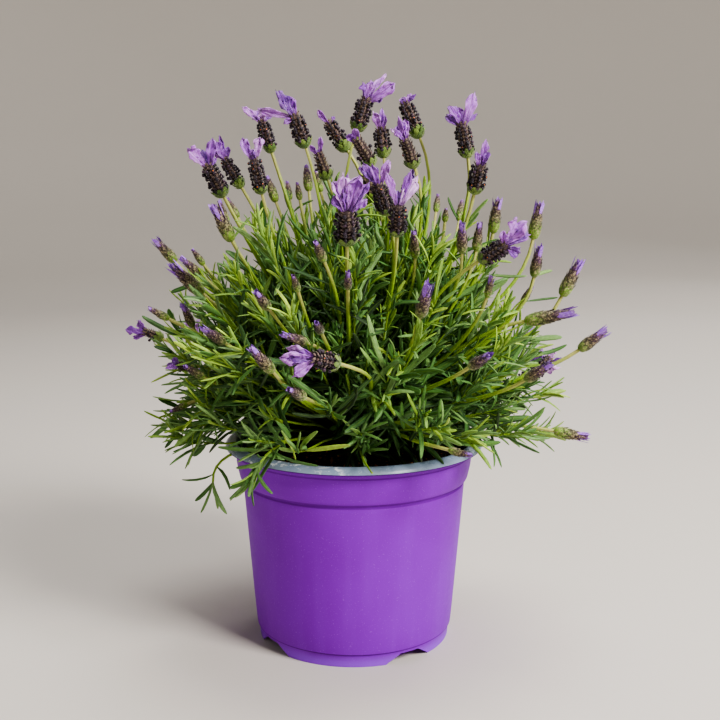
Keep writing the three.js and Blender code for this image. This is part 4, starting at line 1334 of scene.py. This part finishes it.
# ---- violet bracts -------------------------------------------------------------------------------
# A few broad, papery bracts stand up and spread from the top of each open spike. They are folded
# along the midrib, crinkled at the margin, and veined.

BRACT_LENGTH, BRACT_WIDTH, BRACT_THICKNESS = 21, 10.5, 0.35
BRACT_ROWS, BRACT_COLUMNS = 15, 11
OPEN_TUFTS = (2, 5, 6, 9, 13, 15)        # heads seen right through between their bracts
BRACTS_SEEN = [  # on each head in front: where each bract's tip is seen, its width in mm, how pale it is
    [(187, 149, 8.6, 0.7), (211, 141, 8, 0.45), (216, 158, 3.5, 0.4)],
    [(214, 141, 9, 0.5), (219, 136, 3.6, 0.4), (228, 147, 4.4, 0.35)],
    [(241, 138, 6, 0.5), (260, 137, 6.4, 0.8), (252, 151, 3, 0.3)],
    [(243, 106, 5.6, 0.75), (262, 110, 6.2, 0.9), (270, 114, 5, 0.3)],
    [(277, 93, 9, 0.12), (259, 110, 6.4, 0.75), (284, 123, 4.6, 0.5)],
    [(318, 111, 5, 0.6), (334, 116, 3, 0.4)],
    [(310, 145, 4.2, 0.55), (320, 137, 4.2, 0.55)],
    [(381, 73, 6, 0.7), (394, 85, 9, 0.6), (382, 99, 5.6, 0.3), (371, 82, 4.4, 0.6)],
    [(374, 112, 6.6, 0.75), (382, 110, 5.4, 0.5), (386, 116, 3.6, 0.5)],
    [(347, 135, 5.2, 0.45), (354, 129, 5.4, 0.55)],
    [(402, 99, 4.4, 0.2), (410, 93, 5, 0.65), (414, 95, 3.6, 0.35)],
    [(398, 119, 4.4, 0.6), (405, 119, 5.4, 0.6), (396, 130, 4.4, 0.45)],
    [(475, 93, 9.4, 0.62), (451, 105, 6.4, 0.45), (446, 116, 5.4, 0.15), (475, 112, 4, 0.4)],
    [(486, 141, 6.2, 0.55), (477, 152, 4.4, 0.45), (489, 152, 4.4, 0.35)],
    [(343, 173, 8.6, 0.85), (358, 177, 10, 0.55), (368, 182, 7, 0.35), (334, 196, 8.4, 0.3),
     (346, 187, 6.4, 0.4), (367, 199, 7, 0.5)],
    [(388, 173, 6, 0.6), (416, 178, 8.6, 0.95), (411, 171, 5.4, 0.45)],
    [(364, 163, 5.6, 0.45), (388, 162, 6.2, 0.7), (372, 166, 5, 0.5)],
    [(359, 167, 3.8, 0.2), (367, 164, 4.6, 0.5)],
    [(411, 171, 4.4, 0.5), (413, 167, 3, 0.2)],
    [(526, 223, 10.4, 0.65), (520, 253, 8.4, 0.25), (504, 233, 6.6, 0.6), (529, 234, 6.4, 0.5)],
    [(281, 357, 9, 0.7), (294, 376, 7.6, 0.65), (300, 352, 5, 0.45)],
    [(126, 329, 6.4, 0.4), (137, 321, 6.2, 0.55), (134, 339, 5.4, 0.6)],
    [(167, 367, 4.4, 0.5), (173, 358, 4.6, 0.3)],
]


def bract_finish():
    made = Finish("violet_bracts")
    reach, side, tone = made.own("reach"), made.own("side"), made.own("tone")
    away = abs(side)

    def streaks(across, apart, along, spread, detail):
        """Lines that fan out from the foot of a bract, other ones on each."""
        spot = made.node("ShaderNodeCombineXYZ", None, {
            "X": side * across + tone * apart, "Y": reach * along - away * spread})
        return made.node("ShaderNodeTexNoise", {"noise_dimensions": "2D"},
                         {"Vector": spot, "Scale": 1.0, "Detail": detail})
    rays = streaks(9, 40, 1.4, 1.2, 4.0).rising(0.42, 0.62)
    veins = streaks(14, 90, 2.2, 2.4, 3.0).rising(0.52, 0.62)
    body = made.ramp(tone + made.grain(200, 3, rough=0.6) * 0.5 - 0.28, (0.0, (84, 26, 134)),
                     (0.35, (140, 64, 188)), (0.65, (188, 112, 222)), (1.0, (234, 186, 250)))
    body = made.washed(body, (rays * 0.24, (220, 170, 248)), (veins * 0.34, (100, 26, 124)),
                       ((1 - away.rising(0.0, 0.16)) * (1 - reach * 0.5) * 0.75, (98, 16, 104)),
                       ((1 - reach.rising(0.0, 0.4)) * 0.6, (76, 14, 96)))
    return made.finish(body, 0.5, rays, 0.0003, Subsurface_Weight=0.25, Subsurface_Radius=(0.8, 0.4, 1.0),
                       Subsurface_Scale=0.0015, Sheen_Weight=0.2)


def bract(sheet, root, way, normal, length, width, tone, number):
    """One bract as a crinkled, folded sheet, appended to the sheet of all bracts."""
    side = way.cross(normal).normalized()
    first = len(sheet["points"])
    fold = between(0.2, 0.55, number, 61)
    curl = between(-0.12, 0.26, number, 62)
    twist = between(-0.4, 0.4, number, 63)
    for row in range(BRACT_ROWS):
        u = row / (BRACT_ROWS - 1)
        wide = width * 0.56 * min(1.0, 0.26 + 0.95 * u) * math.sqrt(max(0.03, 1 - u ** 9))
        for column in range(BRACT_COLUMNS):
            v = 2 * column / (BRACT_COLUMNS - 1) - 1
            crinkle = noise.noise(Vector((u * 5, v * 2.6, number * 5.7))) * (0.3 + abs(v) ** 1.3) * 0.5
            ripple = math.sin(u * 17 + v * 3 + number) * 0.1 * v * v
            height = (fold * abs(v) * wide - (0.04 + curl) * length * u ** 2.4 + twist * u * v * wide
                      + (crinkle + ripple) * width * u ** 0.5)
            jag = (noise.noise(Vector((v * 3.4, number * 3.3, 2))) * 0.22 - 0.1 * v * v) * length * u ** 3
            sheet["points"].append(root + (way * (length * u + jag) + side * v * wide * (1 - 0.25 * fold)
                                           + normal * height) * MM)
            sheet["reach"].append(u)
            sheet["side"].append(v)
            sheet["tone"].append(tone)
    for row in range(BRACT_ROWS - 1):
        for column in range(BRACT_COLUMNS - 1):
            a = first + row * BRACT_COLUMNS + column
            sheet["faces"].append((a, a + 1, a + 1 + BRACT_COLUMNS, a + BRACT_COLUMNS))


bract_sheet = {"points": [], "faces": [], "reach": [], "side": [], "tone": []}


def seen_bracts(head, tip_depth, number):
    """The bracts of a head in front, each standing where its tip is seen, its face to the eye."""
    for k, (x, y, width, tone) in enumerate(BRACTS_SEEN[number]):
        draw = number * 8 + k
        tip = seen(x, y, tip_depth + between(-7, 4, draw, 65))
        out = (tip - head.tip) - head.way * (tip - head.tip).dot(head.way)
        root = head.tip - head.way * 0.8 * MM + out.normalized() * SPIKE_RADIUS * head.stout * 0.3 * MM
        way = (tip - root).normalized()
        facing = (EYE - tip).normalized() - out.normalized() * 0.3
        facing += way.cross(facing) * between(-0.5, 0.5, draw, 66)
        normal = (facing - way * facing.dot(way)).normalized()
        bract(bract_sheet, root, way, normal, (tip - root).length / MM, width, tone, draw)


def ruled_bract(head, draw, angle, shorter):
    """A bract that stands by the rule alone."""
    out = spoke(*crossways(head.way), angle)
    way = (head.way + out * between(0.3, 0.65, draw, 12)).normalized()
    normal = (way * way.dot(out) - out).normalized()
    root = head.tip - head.way * 0.8 * MM + out * SPIKE_RADIUS * head.stout * 0.28 * MM
    length = BRACT_LENGTH * head.tuft * between(0.85, 1.1, draw, 13) * shorter
    bract(bract_sheet, root, way, normal, length, BRACT_WIDTH * min(1.1, head.tuft + 0.15) * shorter,
          chance(draw, 64), 400 + draw)


for number, head in enumerate(open_heads):
    if number < len(BRACTS_SEEN):
        seen_bracts(head, OPEN_HEADS[number][1][2], number)
        across, over = crossways(head.way)
        behind = math.atan2(over.y, across.y)
        ruled_bract(head, number * 4, behind, 0.4 if number in OPEN_TUFTS else 0.72)
        if head.tuft > 0.8 and number not in OPEN_TUFTS:
            ruled_bract(head, number * 4 + 1, behind + 0.9, 0.66)
    else:
        petals = 4 if head.tuft > 0.8 else 3
        for k in range(petals):
            turn = (k + between(-0.12, 0.12, number * 4 + k, 11)) / petals * 2 * math.pi + number
            ruled_bract(head, number * 4 + k, turn, 1.0)
thin_bracts = piece_from("thin_bracts", bract_sheet.pop("points"), bract_sheet.pop("faces"), [bract_finish()],
                         values=bract_sheet)
thicken = thin_bracts.modifiers.new("thicken", "SOLIDIFY")
thicken.thickness, thicken.offset = BRACT_THICKNESS * MM, 0
bracts = settled("violet_bracts", thin_bracts)
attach(bracts, "root")
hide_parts(*[f"bracts_{number + 1:02d}" for number in range(len(open_heads))])


# ---- tidying up ----------------------------------------------------------------------------------
# The unplanted shapes are thrown away.

for shelf_of_shapes in list(bpy.data.collections):
    for unit in list(shelf_of_shapes.objects):
        if shelf_of_shapes.name.endswith("_shapes"):
            bpy.data.objects.remove(unit)
